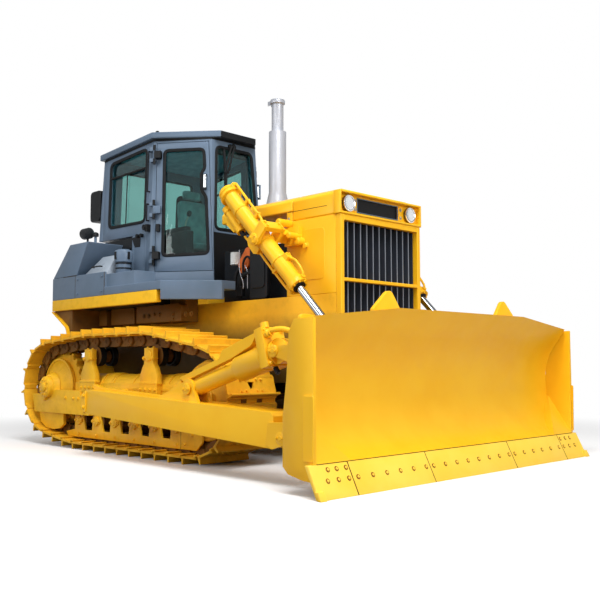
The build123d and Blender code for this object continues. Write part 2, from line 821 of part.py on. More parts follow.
def frame_rail():
    rail = block(100, hood_front - grille_depth - clearance, hull_half_width - rail_thickness, hull_half_width,
                 hull_bottom, hull_top)
    shaft_room = axle(0, sprocket_height, final_drive_radius + 5, case_half_width, hull_half_width + 5)
    return rail - shaft_room


def transmission_case():
    # rear case, with four tapped holes in its rear face for a rear tool
    shape = side_plate([
        (case_rear, 480), (case_rear, 1250), (-200, 1500), (0, 1600), (1850, 1600), (1850, 720), (1500, 480),
    ], -case_half_width, case_half_width)
    for y in (-tool_bolt_side, tool_bolt_side):
        for z in (tool_bolt_low, tool_bolt_low + tool_bolt_rise):
            shape -= bar((case_rear - 1, y, z), (case_rear + 60, y, z), tool_bolt_radius)
    return shape


def belly_guard():
    return side_plate([
        (0, 440), (2450, 440), (3450, 680), (hood_front, 680), (hood_front, hull_bottom), (3430, hull_bottom),
        (2440, 480), (0, 480),
    ], clearance - case_half_width, case_half_width - clearance)


def front_crossmember():
    reach = hull_half_width - rail_thickness - clearance
    return block(hood_front - 165, hood_front, -reach, reach, hull_bottom, 1000)


def equalizer_bar():
    reach = track_middle - frame_half_width
    return side_plate([(2220, 590), (2380, 590), (2380, 690), (2220, 690)], -reach, reach)


def pivot_shaft():
    return axle(700, 560, 75, case_half_width, track_middle - frame_half_width)


def engine_block():
    # one plain mass with two pairs of mounting arms down to the frame rails
    shape = block(2005, 3150, -330, 330, hull_bottom, 2060)
    reach = hull_half_width - rail_thickness - clearance
    for x in (2150, 2900):
        shape += block(x, x + 150, -reach, reach, 900, 1000)
    return shape


def radiator():
    half = hull_half_width - rail_thickness
    return block(3500, 3690, -half, half, hull_bottom, 2190)


def radiator_guards():
    return both(block(guard_rear, hood_front - grille_depth, hull_half_width - 45, hull_half_width, hull_top,
                      lamp_panel_bottom))


grille_half = hull_half_width - 45
slat_count = 11


def grille():
    # bars round two openings, with thin upright slats set back across both
    depth0, depth1 = hood_front - grille_depth, hood_front
    low, high = 1060, lamp_panel_bottom - 54
    shape = block(depth0, depth1, -hull_half_width, hull_half_width, 1000, lamp_panel_bottom)
    shape -= block(depth0 - 1, depth1 + 1, -grille_half, grille_half, low, 1609)
    shape -= block(depth0 - 1, depth1 + 1, -grille_half, grille_half, 1640, high)
    spacing = 2 * grille_half / (slat_count + 1)
    for i in range(slat_count):
        y = -grille_half + (i + 1) * spacing
        shape += block(depth0 - 40, depth0 + 20, y - 5, y + 5, low - 30, high + 20)
    return shape


def lamp_panel():
    # open box across the front, with a cut through its back wall between the lamps
    x0, x1 = hood_front - lamp_panel_depth, hood_front + 8
    half = hull_half_width + 15
    wall = 21
    low, high = lamp_panel_bottom + clearance, hood_height + 5
    shape = block(x0, x1, -half, half, low, high)
    shape -= block(x1 - lamp_recess, x1 + 1, wall - half, half - wall, low + wall, high - wall)
    return shape - block(x0 - 1, x1, -290, 290, low + 40, high - 35)


lamp_side = hull_half_width - 127
lamp_radius = 72
lamp_recess = 60


def headlamps():
    depth = 46
    x = hood_front + 8 - lamp_recess + clearance + depth / 2
    lamp = Pos(x, lamp_side, hood_height - 100) * Rot(0, 90, 0) * Cylinder(lamp_radius, depth)
    return both(lamp)


def hood_section(x0, x1):
    half = hull_half_width
    return cross_plate([
        (-half, hood_height - hood_side_depth), (half, hood_height - hood_side_depth),
        (half, hood_height - 20),
        (half - 20, hood_height), (half - 110, hood_height + 38), (110 - half, hood_height + 38), (-half + 20, hood_height),
        (-half, hood_height - 20),
    ], x0, x1)


def hood_rear_panel():
    return hood_section(hood_rear, hood_seam - 2)


def hood_front_panel():
    top = hood_section(hood_seam, hood_front - lamp_panel_depth)
    side_depth = hood_height - hood_side_depth - lamp_panel_bottom
    skirt = block(hood_seam, hood_front - lamp_panel_depth, -hull_half_width, hull_half_width,
                  lamp_panel_bottom, lamp_panel_bottom + side_depth)
    return top + skirt


def guard_tops():
    # side panel above the guard, behind the hood's seam
    return block(guard_rear, hood_seam - 2, hull_half_width - 45, hull_half_width, lamp_panel_bottom,
                 hood_height - hood_side_depth)


exhaust_x = 2465
exhaust_top = 3640


def exhaust_stack():
    profile = [
        (0, hood_height + 38), (120, hood_height + 38), (120, 2530), (90, 2660), (90, 3300), (62, 3310),
        (62, 3590), (78, 3600), (78, exhaust_top - 12), (0, exhaust_top - 12),
    ]
    face = make_face(Polyline(*[(exhaust_x + r, 0, z) for r, z in profile], close=True))
    shape = revolve(face, Axis((exhaust_x, 0, 0), (0, 0, 1)))
    for side in (-1, 1):
        near, far = sorted((side * (20 + clearance), side * 27))
        shape += block(exhaust_x - 122, exhaust_x - 73, near, far, exhaust_top - 40, exhaust_top + 5)
    return shape - Pos(exhaust_x, 0, exhaust_top - 212) * Cylinder(56, 401)


def rain_cap():
    cap = Pos(exhaust_x, 0, exhaust_top - 5) * Cylinder(74, 8)
    knuckle = block(exhaust_x - 110, exhaust_x - 60, -14, 14, exhaust_top - 9, exhaust_top - 1)
    return cap + knuckle + axle(exhaust_x - 112, exhaust_top - 5, 9, -20, 20)


# ---- cab ----

def cab_prism(inset, low, high):
    # six-sided body that widens toward the floor, with planar walls
    def ring(plan, z):
        points = [(x, y) for x, y in plan] + [(x, -y) for x, y in reversed(plan)]
        face = make_face(Polyline(*[(x, y, z) for x, y in points], close=True))
        return offset(face, amount=-inset, kind=Kind.INTERSECTION) if inset else face

    top, bottom = ring(cab_top_plan, roof_height), ring(cab_floor_plan, cab_floor_height)
    solid = loft([bottom, top], ruled=True)
    return solid & block(-500, 3000, -1500, 1500, low, high)


def roof_profile(lift):
    # outline in x and z of the space above the roof's underside, raised by lift
    knee_x = cab_top_plan[1][0]
    under = roof_height - roof_thickness + lift
    return [(3000, under), (knee_x, under), (-200, under - roof_drop * (knee_x + 200) / (knee_x - cab_top_plan[2][0])),
            (-200, 5000), (3000, 5000)]


def cab_shell():
    shell = cab_prism(0, cab_floor_height, 3600) - cab_prism(wall_thickness, cab_floor_height - 1, 3601)
    shell -= side_plate(roof_profile(0), -1500, 1500)
    rear_room = block(-200, shelf_front, -1500, 1500, cab_floor_height - 1, shelf_height)
    return shell - rear_room


def wall_frame(start, end):
    # plane on a left-hand wall between two plan corners: x forward along the wall, y up, z into the cab
    along = Vector(end[0] - start[0], end[1] - start[1], 0)
    return Plane(origin=(start[0], start[1], 0), x_dir=along, z_dir=along.cross(Vector(0, 0, 1))), along.length


def slab(plane, outline, depth):
    # outline in wall coordinates, cut through the wall both ways
    face = make_face(Polyline(*[(u, v) for u, v in outline], close=True))
    return plane * Pos(0, 0, -depth) * extrude(face, amount=2 * depth)


def rounded_slab(plane, outline, depth, radius):
    face = make_face(Polyline(*[(u, v) for u, v in outline], close=True))
    face = fillet(face.vertices(), radius)
    return plane * Pos(0, 0, -depth) * extrude(face, amount=2 * depth)


def rectangle(u0, u1, v0, v1):
    return [(u0, v0), (u1, v0), (u1, v1), (u0, v1)]


door_plane, panel_length = wall_frame(cab_top_plan[1], cab_top_plan[0])
side_plane, side_length = wall_frame(cab_top_plan[2], cab_top_plan[1])
door_start, door_end = 38, 612     # along the wall's upper edge
door_low_end = 687                 # the door widens toward the floor


def door_window():
    # leaning front edge, stepped back round the handle
    def front(z):
        return door_end - 49 + (3204 - z) * 0.068

    return [
        (door_start + 85, 2050), (front(2065) - 5, 2065), (front(2680), 2680), (front(2735) - 42, 2735),
        (front(2935) - 42, 2935), (front(2990), 2990), (front(3204), 3204), (door_start + 85, 3204),
    ]


def door_space(gap):
    return slab(door_plane, [
        (door_start - gap, door_bottom - gap), (door_low_end + gap, door_bottom - gap), (door_end + gap, door_top + gap),
        (door_start - gap, door_top + gap),
    ], 160)


side_window = [(130, 2440), (side_length - 115, 2440), (side_length - 115, 3250), (130, 3185)]


def cab_walls():
    shell = cab_shell()
    for shape in both(door_space(door_gap)):
        shell -= shape
    for shape in both(rounded_slab(side_plane, side_window, 160, window_corner)):
        shell -= shape
    shell -= windshield_slab(0)
    shell -= rear_window_slab(0)
    return shell


def windshield_slab(inset):
    outline = [
        (-300 + inset, 2330 + inset), (300 - inset, 2330 + inset), (250 - inset, 3240 - inset),
        (-250 + inset, 3240 - inset),
    ]
    plane = Plane(origin=(cab_top_plan[0][0], 0, 0), x_dir=(0, 1, 0), z_dir=(1, 0, 0))
    return rounded_slab(plane, outline, 180, window_corner)


def rear_window_slab(inset):
    plane = Plane(origin=(cab_top_plan[2][0], 0, 0), x_dir=(0, -1, 0), z_dir=(-1, 0, 0))
    return rounded_slab(plane, rectangle(-520 + inset, 520 - inset, 2460 + inset, 3150 - inset), 180, window_corner)


def cab_wall_parts():
    # the shell cut into front, two sides and rear, clear of the hinges and of the windows
    walls = cab_walls()
    for hinge in frame_hinges():
        walls = walls + hinge + mirrored(hinge)
    knee_x = cab_top_plan[1][0]
    split = knee_x - 75
    front_cut = block(split, 3000, -1500, 1500, 0, 5000)
    rear_cut = block(-500, cab_top_plan[2][0] + 10, -1500, 1500, 0, 5000)
    left_cut = block(cab_top_plan[2][0] + 10, split, 0, 1500, 0, 5000)
    return walls & front_cut, walls & left_cut, walls & mirrored(left_cut), walls & rear_cut


def door_leaf():
    shell = cab_prism(0, cab_floor_height, 3600) - cab_prism(wall_thickness - 10, cab_floor_height - 1, 3601)
    leaf = shell & door_space(0)
    leaf -= rounded_slab(door_plane, door_window(), 160, 30)
    handle = door_plane * Pos(handle_place, 2832, -62) * Box(24, 165, 24)
    for z in (2760, 2900):
        handle += door_plane * Pos(handle_place, z, -20) * Box(18, 18, 100)
    shape = leaf + handle
    for z in hinge_heights:
        shape += hinge_piece(z, 80, door_start + 60)
    return shape


handle_place = door_end - 22
hinge_heights = (2050, 2550, 3150)
hinge_pin = (door_start - 12, -62)      # along the door's wall and out of it


def hinge_piece(z, length, far_end):
    # knuckle on the hinge line with a leaf that reaches back into the wall or the door
    u, depth = hinge_pin
    knuckle = door_plane * Pos(u, z, depth) * Rot(90, 0, 0) * Cylinder(12, length)
    strap = door_plane * Pos((u + far_end) / 2, z, depth) * Box(abs(far_end - u), length, 10)
    foot = door_plane * Pos(far_end + (12 if far_end < u else -12), z, depth / 2 - 5) * Box(24, length, -depth)
    return knuckle + strap + foot


def frame_hinges():
    return [hinge_piece(z + side * (60 + clearance), 40, door_start - 62) for z in hinge_heights for side in (-1, 1)]


def pane(inner, outline_slab):
    # a sheet of glass that fills a window, set in the middle of the wall
    sheet = cab_prism(inner, cab_floor_height, 3600)
    sheet -= cab_prism(inner + glass_thickness, cab_floor_height - 1, 3601)
    return sheet & outline_slab


def cab_glass():
    depth = wall_thickness / 2
    side = rounded_slab(side_plane, side_window, 160, window_corner)
    return [pane(depth, windshield_slab(0)), pane(depth, rear_window_slab(0)), *both(pane(depth, side))]


def door_glass():
    return pane(wall_thickness / 2 - 5, rounded_slab(door_plane, door_window(), 160, 30))


def cab_roof():
    overhang = 45
    plan = [(1839, 247), (cab_top_plan[1][0] + 20, cab_top_plan[1][1] + overhang),
            (cab_top_plan[2][0] - overhang, cab_top_plan[2][1] + overhang)]
    points = plan + [(x, -y) for x, y in reversed(plan)]
    slab_shape = plan_plate(points, 3000, 3600)
    under = side_plate(roof_profile(clearance), -1500, 1500)
    over = side_plate(roof_profile(roof_thickness), -1500, 1500)
    return (slab_shape & under) - over


def cab_floor():
    front = cab_prism(wall_thickness + clearance, cab_floor_height, cab_floor_height + 40)
    front &= block(shelf_front, 3000, -1500, 1500, 0, 5000)
    return front


def cab_shelf():
    # raised floor behind the seat, closed toward the front
    shelf = cab_prism(wall_thickness + clearance, shelf_height, shelf_height + 40)
    shelf &= block(-500, shelf_front, -1500, 1500, 0, 5000)
    riser = cab_prism(clearance, cab_floor_height, shelf_height)
    riser &= block(shelf_front - 45, shelf_front - clearance, -1500, 1500, 0, 5000)
    return shelf + riser


# ---- platform behind and beside the cab ----

def fender():
    plan = [
        (fender_rear, fender_inner), (fender_front + 405, fender_inner), (fender_front + 405, 750),
        (fender_front, fender_outer), (fender_rear, fender_outer),
    ]
    deck = plan_plate(plan, band_top, fender_top)
    coaming = block(fender_rear, coaming_front, fender_outer - 30, fender_outer, fender_top, coaming_top)
    seat = block(fender_rear, 500, fender_inner, fender_outer, fender_top, coaming_top)
    side_box = block(coaming_front - 20, 1590, 900, fender_outer - 30, fender_top, coaming_top - 25)
    skirt = plan_plate([
        (fender_front, fender_outer), (fender_front + 405, 750), (fender_front + 405, 715),
        (fender_front - 15, fender_outer - 50),
    ], 1515, band_top)
    return deck + coaming + seat + side_box + skirt


def fender_band():
    return block(fender_rear, fender_front - 65, fender_outer - 60, fender_outer, band_bottom,
                 band_top - clearance)


def fender_brackets():
    # boxes on the hull's side that carry the deck, each with a lower ledge outside
    shapes = []
    for x0, x1 in ((206, 508), (598, 1062), (1100, 1900)):
        shape = block(x0 + 30, x1 - 30, hull_half_width, 720, 1325, band_top - clearance)
        shape += side_plate([
            (x0, 1325), (x1, 1325), (x1, 1450), (x1 - 15, 1490), (x1 - 55, 1508), (x0, 1508),
        ], 700, 800)
        shapes.append(shape)
    return shapes


def fuel_tank():
    return side_plate([
        (fender_rear + 10, coaming_top), (340, 2220), (726, 2220), (493, coaming_top),
    ], -fender_outer, fender_outer)


def battery_box():
    # locker with a sloped lid, between the tank and the air cleaner
    length = side_plate([
        (560, fender_top), (1035, fender_top), (1035, 2060), (752, 2060), (560, 1850),
    ], 900, 1140)
    slope = cross_plate([
        (900, fender_top), (1140, fender_top), (1140, 1850), (1010, 2060), (900, 2060),
    ], 550, 1100)
    return length & slope


def air_cleaner():
    foot = coaming_top - 25 + clearance
    body = Pos(1165, 1010, (foot + 2050) / 2) * Cylinder(78, 2050 - foot)
    return body + Pos(1165, 1010, 2060) * Cylinder(40, 40)


def work_lamps():
    lamp = Pos(475, 1050, 2345) * Rot(0, 90, 0) * Cylinder(62, 110)
    post_foot = 2220 + clearance
    return both(lamp + Pos(495, 1050, (post_foot + 2310) / 2) * Cylinder(12, 2310 - post_foot))


def seat_base():
    return block(shelf_front + 60, shelf_front + 400, -220, 220, cab_floor_height + 40, 2130)


def seat_cushions():
    x = shelf_front + 45
    cushion = block(x, x + 430, -240, 240, 2130 + clearance, 2250)
    back = side_plate([
        (x + 5, 2250 + clearance), (x + 110, 2250 + clearance), (x + 60, 2900), (x - 30, 2900),
    ], -230, 230)
    return [cushion, back]


def control_console():
    return both(block(1000, 1450, 300, 400, cab_floor_height + 40, 2350))


def drawbar():
    # rear hitch plates with an upright pin hole
    seat = case_rear - clearance
    shape = block(seat - 170, seat, -110, 110, 520, 580)
    shape += block(seat - 170, seat, -110, 110, 660, 720)
    shape += block(seat - 50, seat, -160, 160, 500, 760)
    return shape - Pos(case_rear - 110, 0, 620) * Cylinder(drawbar_pin_radius, 400)


# ---- save every piece in its own file ----

machine_middle = 0


def overall_middle(track_shape):
    box = track_shape.bounding_box()
    return (box.min.X + blade_tip) / 2


def save(name, shapes):
    shapes = list(shapes) if isinstance(shapes, (list, tuple, ShapeList)) else [shapes]
    solids = [solid for shape in shapes for solid in shape.solids()]
    whole = Compound(children=[Pos(-machine_middle, 0, 0) * solid for solid in solids])
    export_step(whole, f"parts/{name}.step")


os.makedirs("parts", exist_ok=True)

left_track = track()
machine_middle = overall_middle(left_track)
print("middle of the machine, forward of the sprocket axle:", round(machine_middle, 3))
print("sprocket pitch radius and link pitch:", round(sprocket_pin_radius, 2), round(link_pitch, 2))

save("track_left", left_track)
save("track_right", mirrored(left_track))
save("sprockets", both(sprocket()))
save("final_drives", both(final_drive()))
save("idlers", both(idler()))
save("rollers", on_both_sides(rollers() + carrier_rollers()))
save("track_frames", on_both_sides([track_frame() + outrigger() + trunnion()] + carrier_supports()))
save("roller_guards", on_both_sides(roller_guards()))

save("main_frame", both(frame_rail()) + [front_crossmember()])
save("belly_guard", belly_guard())
save("transmission_case", transmission_case())
save("track_frame_pivots", both(pivot_shaft()) + [equalizer_bar()])
save("engine_block", engine_block())
save("radiator", radiator())
save("radiator_guards", [shape + extra for shape, extra in zip(radiator_guards(), both(guard_tops()))])
save("grille", grille())
save("headlamp_panel", lamp_panel())
save("headlamps", headlamps())
save("hood_rear", hood_rear_panel())
save("hood_front", hood_front_panel())
save("exhaust_stack", exhaust_stack())
save("rain_cap", rain_cap())

cab_front, cab_left, cab_right, cab_rear = cab_wall_parts()
save("cab_front", cab_front)
save("cab_side_left", cab_left)
save("cab_side_right", cab_right)
save("cab_rear", cab_rear)
save("cab_roof", cab_roof())
save("cab_floor", cab_floor())
save("cab_shelf", cab_shelf())
save("cab_glass", cab_glass())
left_door = door_leaf()
save("door_left", left_door)
save("door_right", mirrored(left_door))
save("door_glass_left", door_glass())
save("door_glass_right", mirrored(door_glass()))

save("fenders", both(fender()))
save("fender_bands", on_both_sides([fender_band()] + fender_brackets()))
save("fuel_tank", fuel_tank())
save("battery_boxes", both(battery_box()))
save("air_cleaner", mirrored(air_cleaner()))
save("work_lamps", work_lamps())
save("seat_base", seat_base())
save("seat_cushions", seat_cushions())
save("control_consoles", control_console())
save("drawbar", drawbar())

save("lift_yokes", both(lift_yoke()))
barrel, rod = lift_barrel(), lift_rod()
save("lift_barrel_left", barrel)
save("lift_barrel_right", mirrored(barrel))
save("lift_rod_left", rod)
save("lift_rod_right", mirrored(rod))

save("push_arms", on_both_sides([push_arm(), arm_pin()]))
save("tilt_cylinder", tilt_cylinder())
save("tilt_brace", brace())
save("blade", blade())
save("cutting_edges", cutting_edges())
save("end_bits", both(end_bits()))
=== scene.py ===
import math

import bpy
import numpy as np
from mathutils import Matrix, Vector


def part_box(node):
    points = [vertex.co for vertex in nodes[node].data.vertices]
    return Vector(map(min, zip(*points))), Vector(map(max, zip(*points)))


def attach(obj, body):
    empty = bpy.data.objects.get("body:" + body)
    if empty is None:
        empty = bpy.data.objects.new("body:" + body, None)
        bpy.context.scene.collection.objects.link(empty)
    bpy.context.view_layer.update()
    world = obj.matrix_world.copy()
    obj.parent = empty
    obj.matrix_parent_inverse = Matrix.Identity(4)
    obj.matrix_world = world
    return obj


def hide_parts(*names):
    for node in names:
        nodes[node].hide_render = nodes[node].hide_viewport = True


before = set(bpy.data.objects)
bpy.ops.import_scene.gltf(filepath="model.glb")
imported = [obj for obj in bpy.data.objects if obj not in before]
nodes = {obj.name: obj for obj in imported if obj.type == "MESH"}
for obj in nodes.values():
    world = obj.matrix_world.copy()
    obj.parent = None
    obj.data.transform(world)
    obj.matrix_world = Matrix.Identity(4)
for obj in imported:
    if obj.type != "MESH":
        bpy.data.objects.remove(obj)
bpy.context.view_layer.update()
print("frame loaded:", len(nodes), "nodes")

# Places below are millimetres ahead of the sprocket axle, to the machine's left and up from the ground.
driveLow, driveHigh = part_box("final_drives")
idlerLow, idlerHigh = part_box("idlers")
axleX = (driveLow.x + driveHigh.x) / 2
axleZ = (driveLow.z + driveHigh.z) / 2 * 1000
idlerX = ((idlerLow.x + idlerHigh.x) / 2 - axleX) * 1000
idlerZ = (idlerLow.z + idlerHigh.z) / 2 * 1000


def skin(rings, capped=True):
    # Rings of equal length joined point to point, each end covered by one face.
    count, around = rings.shape[:2]
    index = np.arange(count * around).reshape(count, around)
    nextIndex = np.roll(index, -1, axis=1)
    quads = np.stack([index[:-1], nextIndex[:-1], nextIndex[1:], index[1:]], axis=-1).reshape(-1, 4)
    faces = [quads]
    if capped:
        faces += [index[:1, ::-1], index[-1:]]
    return rings.reshape(-1, 3), faces


def sheet(points):
    # An open grid of points, one quad between each four neighbours.
    count, across = points.shape[:2]
    index = np.arange(count * across).reshape(count, across)
    quads = np.stack([index[:-1, :-1], index[:-1, 1:], index[1:, 1:], index[1:, :-1]], axis=-1)
    return points.reshape(-1, 3), [quads.reshape(-1, 4)]


def prism(outline, axis, low, high):
    # A flat outline carried straight along x, y or z. The outline is in the other two, in their order.
    along = "xyz".index(axis)
    rings = np.empty((2, len(outline), 3))
    rings[:, :, [i for i in range(3) if i != along]] = np.asarray(outline, float)
    rings[:, :, along] = [[low], [high]]
    return skin(rings)


def box(x0, x1, y0, y1, z0, z1):
    # A plain block between two corners.
    return prism([(y0, z0), (y1, z0), (y1, z1), (y0, z1)], "x", x0, x1)


def roundedOutline(u0, u1, v0, v1, radius, steps=6):
    # A rectangle whose corners are quarter circles.
    turn = np.linspace(0, math.pi / 2, steps)
    corners = []
    for i, (u, v) in enumerate([(u1 - radius, v1 - radius), (u0 + radius, v1 - radius),
                                (u0 + radius, v0 + radius), (u1 - radius, v0 + radius)]):
        angle = turn + i * math.pi / 2
        corners.append(np.stack([u + radius * np.cos(angle), v + radius * np.sin(angle)], axis=1))
    return np.concatenate(corners)


def softOutline(points, radius, steps=5):
    # Any outline with each corner replaced by a parabola that starts and ends radius away from it.
    points = np.asarray(points, float)
    before, after = np.roll(points, 1, axis=0) - points, np.roll(points, -1, axis=0) - points
    reach = np.full(len(points), radius)
    lengths = np.linalg.norm(before, axis=1), np.linalg.norm(after, axis=1)
    reach = np.minimum(reach, np.minimum(*lengths) * 0.48)
    start = points + before / lengths[0][:, None] * reach[:, None]
    end = points + after / lengths[1][:, None] * reach[:, None]
    t = np.linspace(0, 1, steps)[None, :, None]
    curve = start[:, None] * (1 - t) ** 2 + points[:, None] * 2 * t * (1 - t) + end[:, None] * t ** 2
    return curve.reshape(-1, points.shape[1])


def frameAlong(direction):
    # Two unit vectors square to each direction, as arrays.
    direction = np.atleast_2d(np.asarray(direction, float))
    direction = direction / np.linalg.norm(direction, axis=1, keepdims=True)
    helper = np.where(np.abs(direction[:, 2:3]) < 0.9, [[0, 0, 1.0]], [[1.0, 0, 0]])
    side = np.cross(helper, direction)
    side /= np.linalg.norm(side, axis=1, keepdims=True)
    return direction, side, np.cross(direction, side)


def circleIn(side, up, count, turn=0.0):
    # A unit circle in the plane of two vectors: cos(angle) side + sin(angle) up.
    angle = np.linspace(0, 2 * math.pi, count, endpoint=False) + turn
    return np.cos(angle)[:, None] * side + np.sin(angle)[:, None] * up


def turned(start, direction, profile, sides=32):
    # A profile of (distance, radius) turned about a line.
    direction, side, up = [v[0] for v in frameAlong(direction)]
    profile = np.asarray(profile, float)
    circle = circleIn(side, up, sides)
    return skin(np.asarray(start, float) + profile[:, :1, None] * direction + profile[:, 1:, None] * circle)


def rod(start, end, radius, sides=20):
    # A plain round bar between two points.
    start, end = np.asarray(start, float), np.asarray(end, float)
    return turned(start, end - start, [(0, radius), (np.linalg.norm(end - start), radius)], sides)


def bentPath(points, bend, steps=7):
    # Straight runs whose corners are parabolas of the given reach.
    points = np.asarray(points, float)
    pieces = [points[:1]]
    t = np.linspace(0, 1, steps)[:, None]
    for a, b, c in zip(points, points[1:], points[2:]):
        first, last = np.linalg.norm(a - b), np.linalg.norm(c - b)
        reach = min(bend, first * 0.49, last * 0.49)
        start, end = b + (a - b) / first * reach, b + (c - b) / last * reach
        pieces.append(start * (1 - t) ** 2 + b * 2 * t * (1 - t) + end * t ** 2)
    pieces.append(points[-1:])
    return np.concatenate(pieces)


def pipe(points, radius, bend=60, sides=12):
    # A circle carried along a bent path, held square to it and never twisting.
    path = bentPath(points, bend)
    heading = np.gradient(path, axis=0)
    heading /= np.linalg.norm(heading, axis=1, keepdims=True)
    side = frameAlong(heading[0])[1][0]
    rings = []
    for place, way in zip(path, heading):
        side = side - way * side.dot(way)
        side /= np.linalg.norm(side)
        rings.append(place + radius * circleIn(side, np.cross(way, side), sides))
    return skin(np.array(rings))


def bolts(places, facing, radius=15, height=12, washer=1.6):
    # At each place a washer and a six-sided head with a chamfered top, standing along facing.
    places = np.atleast_2d(np.asarray(places, float))
    facing = np.broadcast_to(np.asarray(facing, float), places.shape)
    direction, side, up = frameAlong(facing)
    angle = np.linspace(0, 2 * math.pi, 12, endpoint=False)
    hexagon = np.where(np.arange(12) % 2 == 0, 1.0, math.cos(math.pi / 6)) * radius
    circle = np.full(12, washer * radius)
    levels = [(-4, circle), (3, circle), (3, hexagon), (height, hexagon), (height + 2.5, hexagon * 0.82)]
    rings = np.stack([
        places[:, None] + level * direction[:, None]
        + (reach * np.cos(angle))[None, :, None] * side[:, None]
        + (reach * np.sin(angle))[None, :, None] * up[:, None]
        for level, reach in levels], axis=1)
    return rings.reshape(-1, 3), repeated(*skin(rings[0]), len(places))


def repeated(points, faces, many):
    # One part's faces for many copies of its points, one copy after the other.
    offsets = np.arange(many)[:, None, None] * len(points)
    return [(offsets + group[None]).reshape(-1, group.shape[1]) for group in faces]


def placed(part, origins, along, outward):
    # A part drawn in (along, y, outward) repeated at each origin with its two directions in the xz plane.
    points, faces = part
    moved = (origins[:, None] + points[None, :, :1] * along[:, None] + points[None, :, 2:] * outward[:, None])
    moved[:, :, 1] += points[None, :, 1]
    return moved.reshape(-1, 3), repeated(points, faces, len(origins))


def flipped(part):
    # The part on the machine's other side, its faces turned so that they still look outward.
    points, faces = part
    return points * [1, -1, 1], [group[:, ::-1] for group in faces]


def bothSides(parts):
    # The parts and their mirror images.
    return list(parts) + [flipped(part) for part in parts]


def facingOut(points, faces):
    # A closed shell's volume tells whether its faces look outward.
    volume = 0
    corners = points - points.mean(0)
    for group in faces:
        first, a, b = corners[group[:, :1]], corners[group[:, 1:-1]], corners[group[:, 2:]]
        volume += np.einsum("ijk,ijk->", np.broadcast_to(first, a.shape), np.cross(a, b))
    return faces if volume >= 0 else [group[:, ::-1] for group in faces]


def addPiece(name, parts, material, body="chassis", bevel=0, segments=2, stands=(), open=False):
    # One mesh from many parts, in metres at its place, riding on a body and standing for the nodes in stands.
    points, faces, base = [], [], 0
    for place, groups in parts:
        groups = groups if open else facingOut(place, groups)
        faces += [face for group in groups for face in (group + base).tolist()]
        points.append(place)
        base += len(place)
    mesh = bpy.data.meshes.new(name)
    mesh.from_pydata(np.concatenate(points) / 1000 + [axleX, 0, 0], [], faces)
    mesh.polygons.foreach_set("use_smooth", np.ones(len(mesh.polygons), bool))
    mesh.set_sharp_from_angle(angle=math.radians(edgeRounding["sharpAngle"]))
    piece = bpy.data.objects.new(name, mesh)
    bpy.context.scene.collection.objects.link(piece)
    mesh.materials.append(material)
    if bevel:
        softEdges(piece, bevel, segments)
    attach(piece, body)
    if stands:
        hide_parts(*stands)
    return piece


def addSides(body, *rows):
    # Rows of (name, parts, material, bevel, node stood for): all the left pieces, then all the right ones, mirrored.
    # A body or node whose name ends in _ takes the side's name after it.
    for side in ("left", "right"):
        for name, parts, material, bevel, node in rows:
            addPiece(f"{name}_{side}", parts if side == "left" else [flipped(part) for part in parts], material,
                     body=body + side if body.endswith("_") else body, bevel=bevel,
                     stands=[node + side] if node else ())


# angles in degrees: what shades as an edge, what is rounded, and how flat faces are to be joined; weld in metres
edgeRounding = {"sharpAngle": 38, "roundAngle": 40, "flatAngle": 0.6, "weld": 0.00002}


def softEdges(piece, width, segments=2):
    # Plate and casting edges are broken by a small round, in millimetres.
    bevel = piece.modifiers.new("brokenEdges", "BEVEL")
    bevel.width = width / 1000
    bevel.segments = segments
    bevel.limit_method = "ANGLE"
    bevel.angle_limit = math.radians(edgeRounding["roundAngle"])
    bevel.use_clamp_overlap = True
    bevel.loop_slide = False
    bevel.harden_normals = True


def linear(hexColour):
    # sRGB hex to linear, as the shaders take it
    values = [int(hexColour[i:i + 2], 16) / 255 for i in (1, 3, 5)]
    return tuple(v / 12.92 if v <= 0.04045 else ((v + 0.055) / 1.055) ** 2.4 for v in values) + (1.0,)


def addNode(tree, kind, settings=None, inputs=None):
    # A node with its settings, values and links. A colour ramp's two stops are given as hex colours.
    item = tree.nodes.new(kind)
    for key, value in (settings or {}).items():
        if key == "stops":
            for element, (place, colour) in zip(item.color_ramp.elements, value):
                element.position, element.color = place, linear(colour)
        else:
            setattr(item, key, value)
    for key, value in (inputs or {}).items():
        if isinstance(value, bpy.types.NodeSocket):
            tree.links.new(value, item.inputs[key])
        else:
            item.inputs[key].default_value = value
    return item


def newMaterial(name, shaderInputs):
    # A material with its uniform values on the shader, and the place on the object that its patterns read.
    material = bpy.data.materials.new(name)
    material.use_nodes = True
    tree = material.node_tree
    shader = tree.nodes["Principled BSDF"]
    for key, value in shaderInputs.items():
        shader.inputs[key].default_value = value
    where = addNode(tree, "ShaderNodeTexCoord").outputs["Object"]
    return material, tree, shader, where


paintFinish = {
    # pattern sizes in mm: the drift of the colour, the orange peel in the gloss and the dust
    "patchSize": 350, "peelSize": 3.5, "grimeSize": 90,
    "peelDepth": 0.12, "shine": 0.24, "coatRoughness": 0.18, "dust": "#6B4A1E",
}


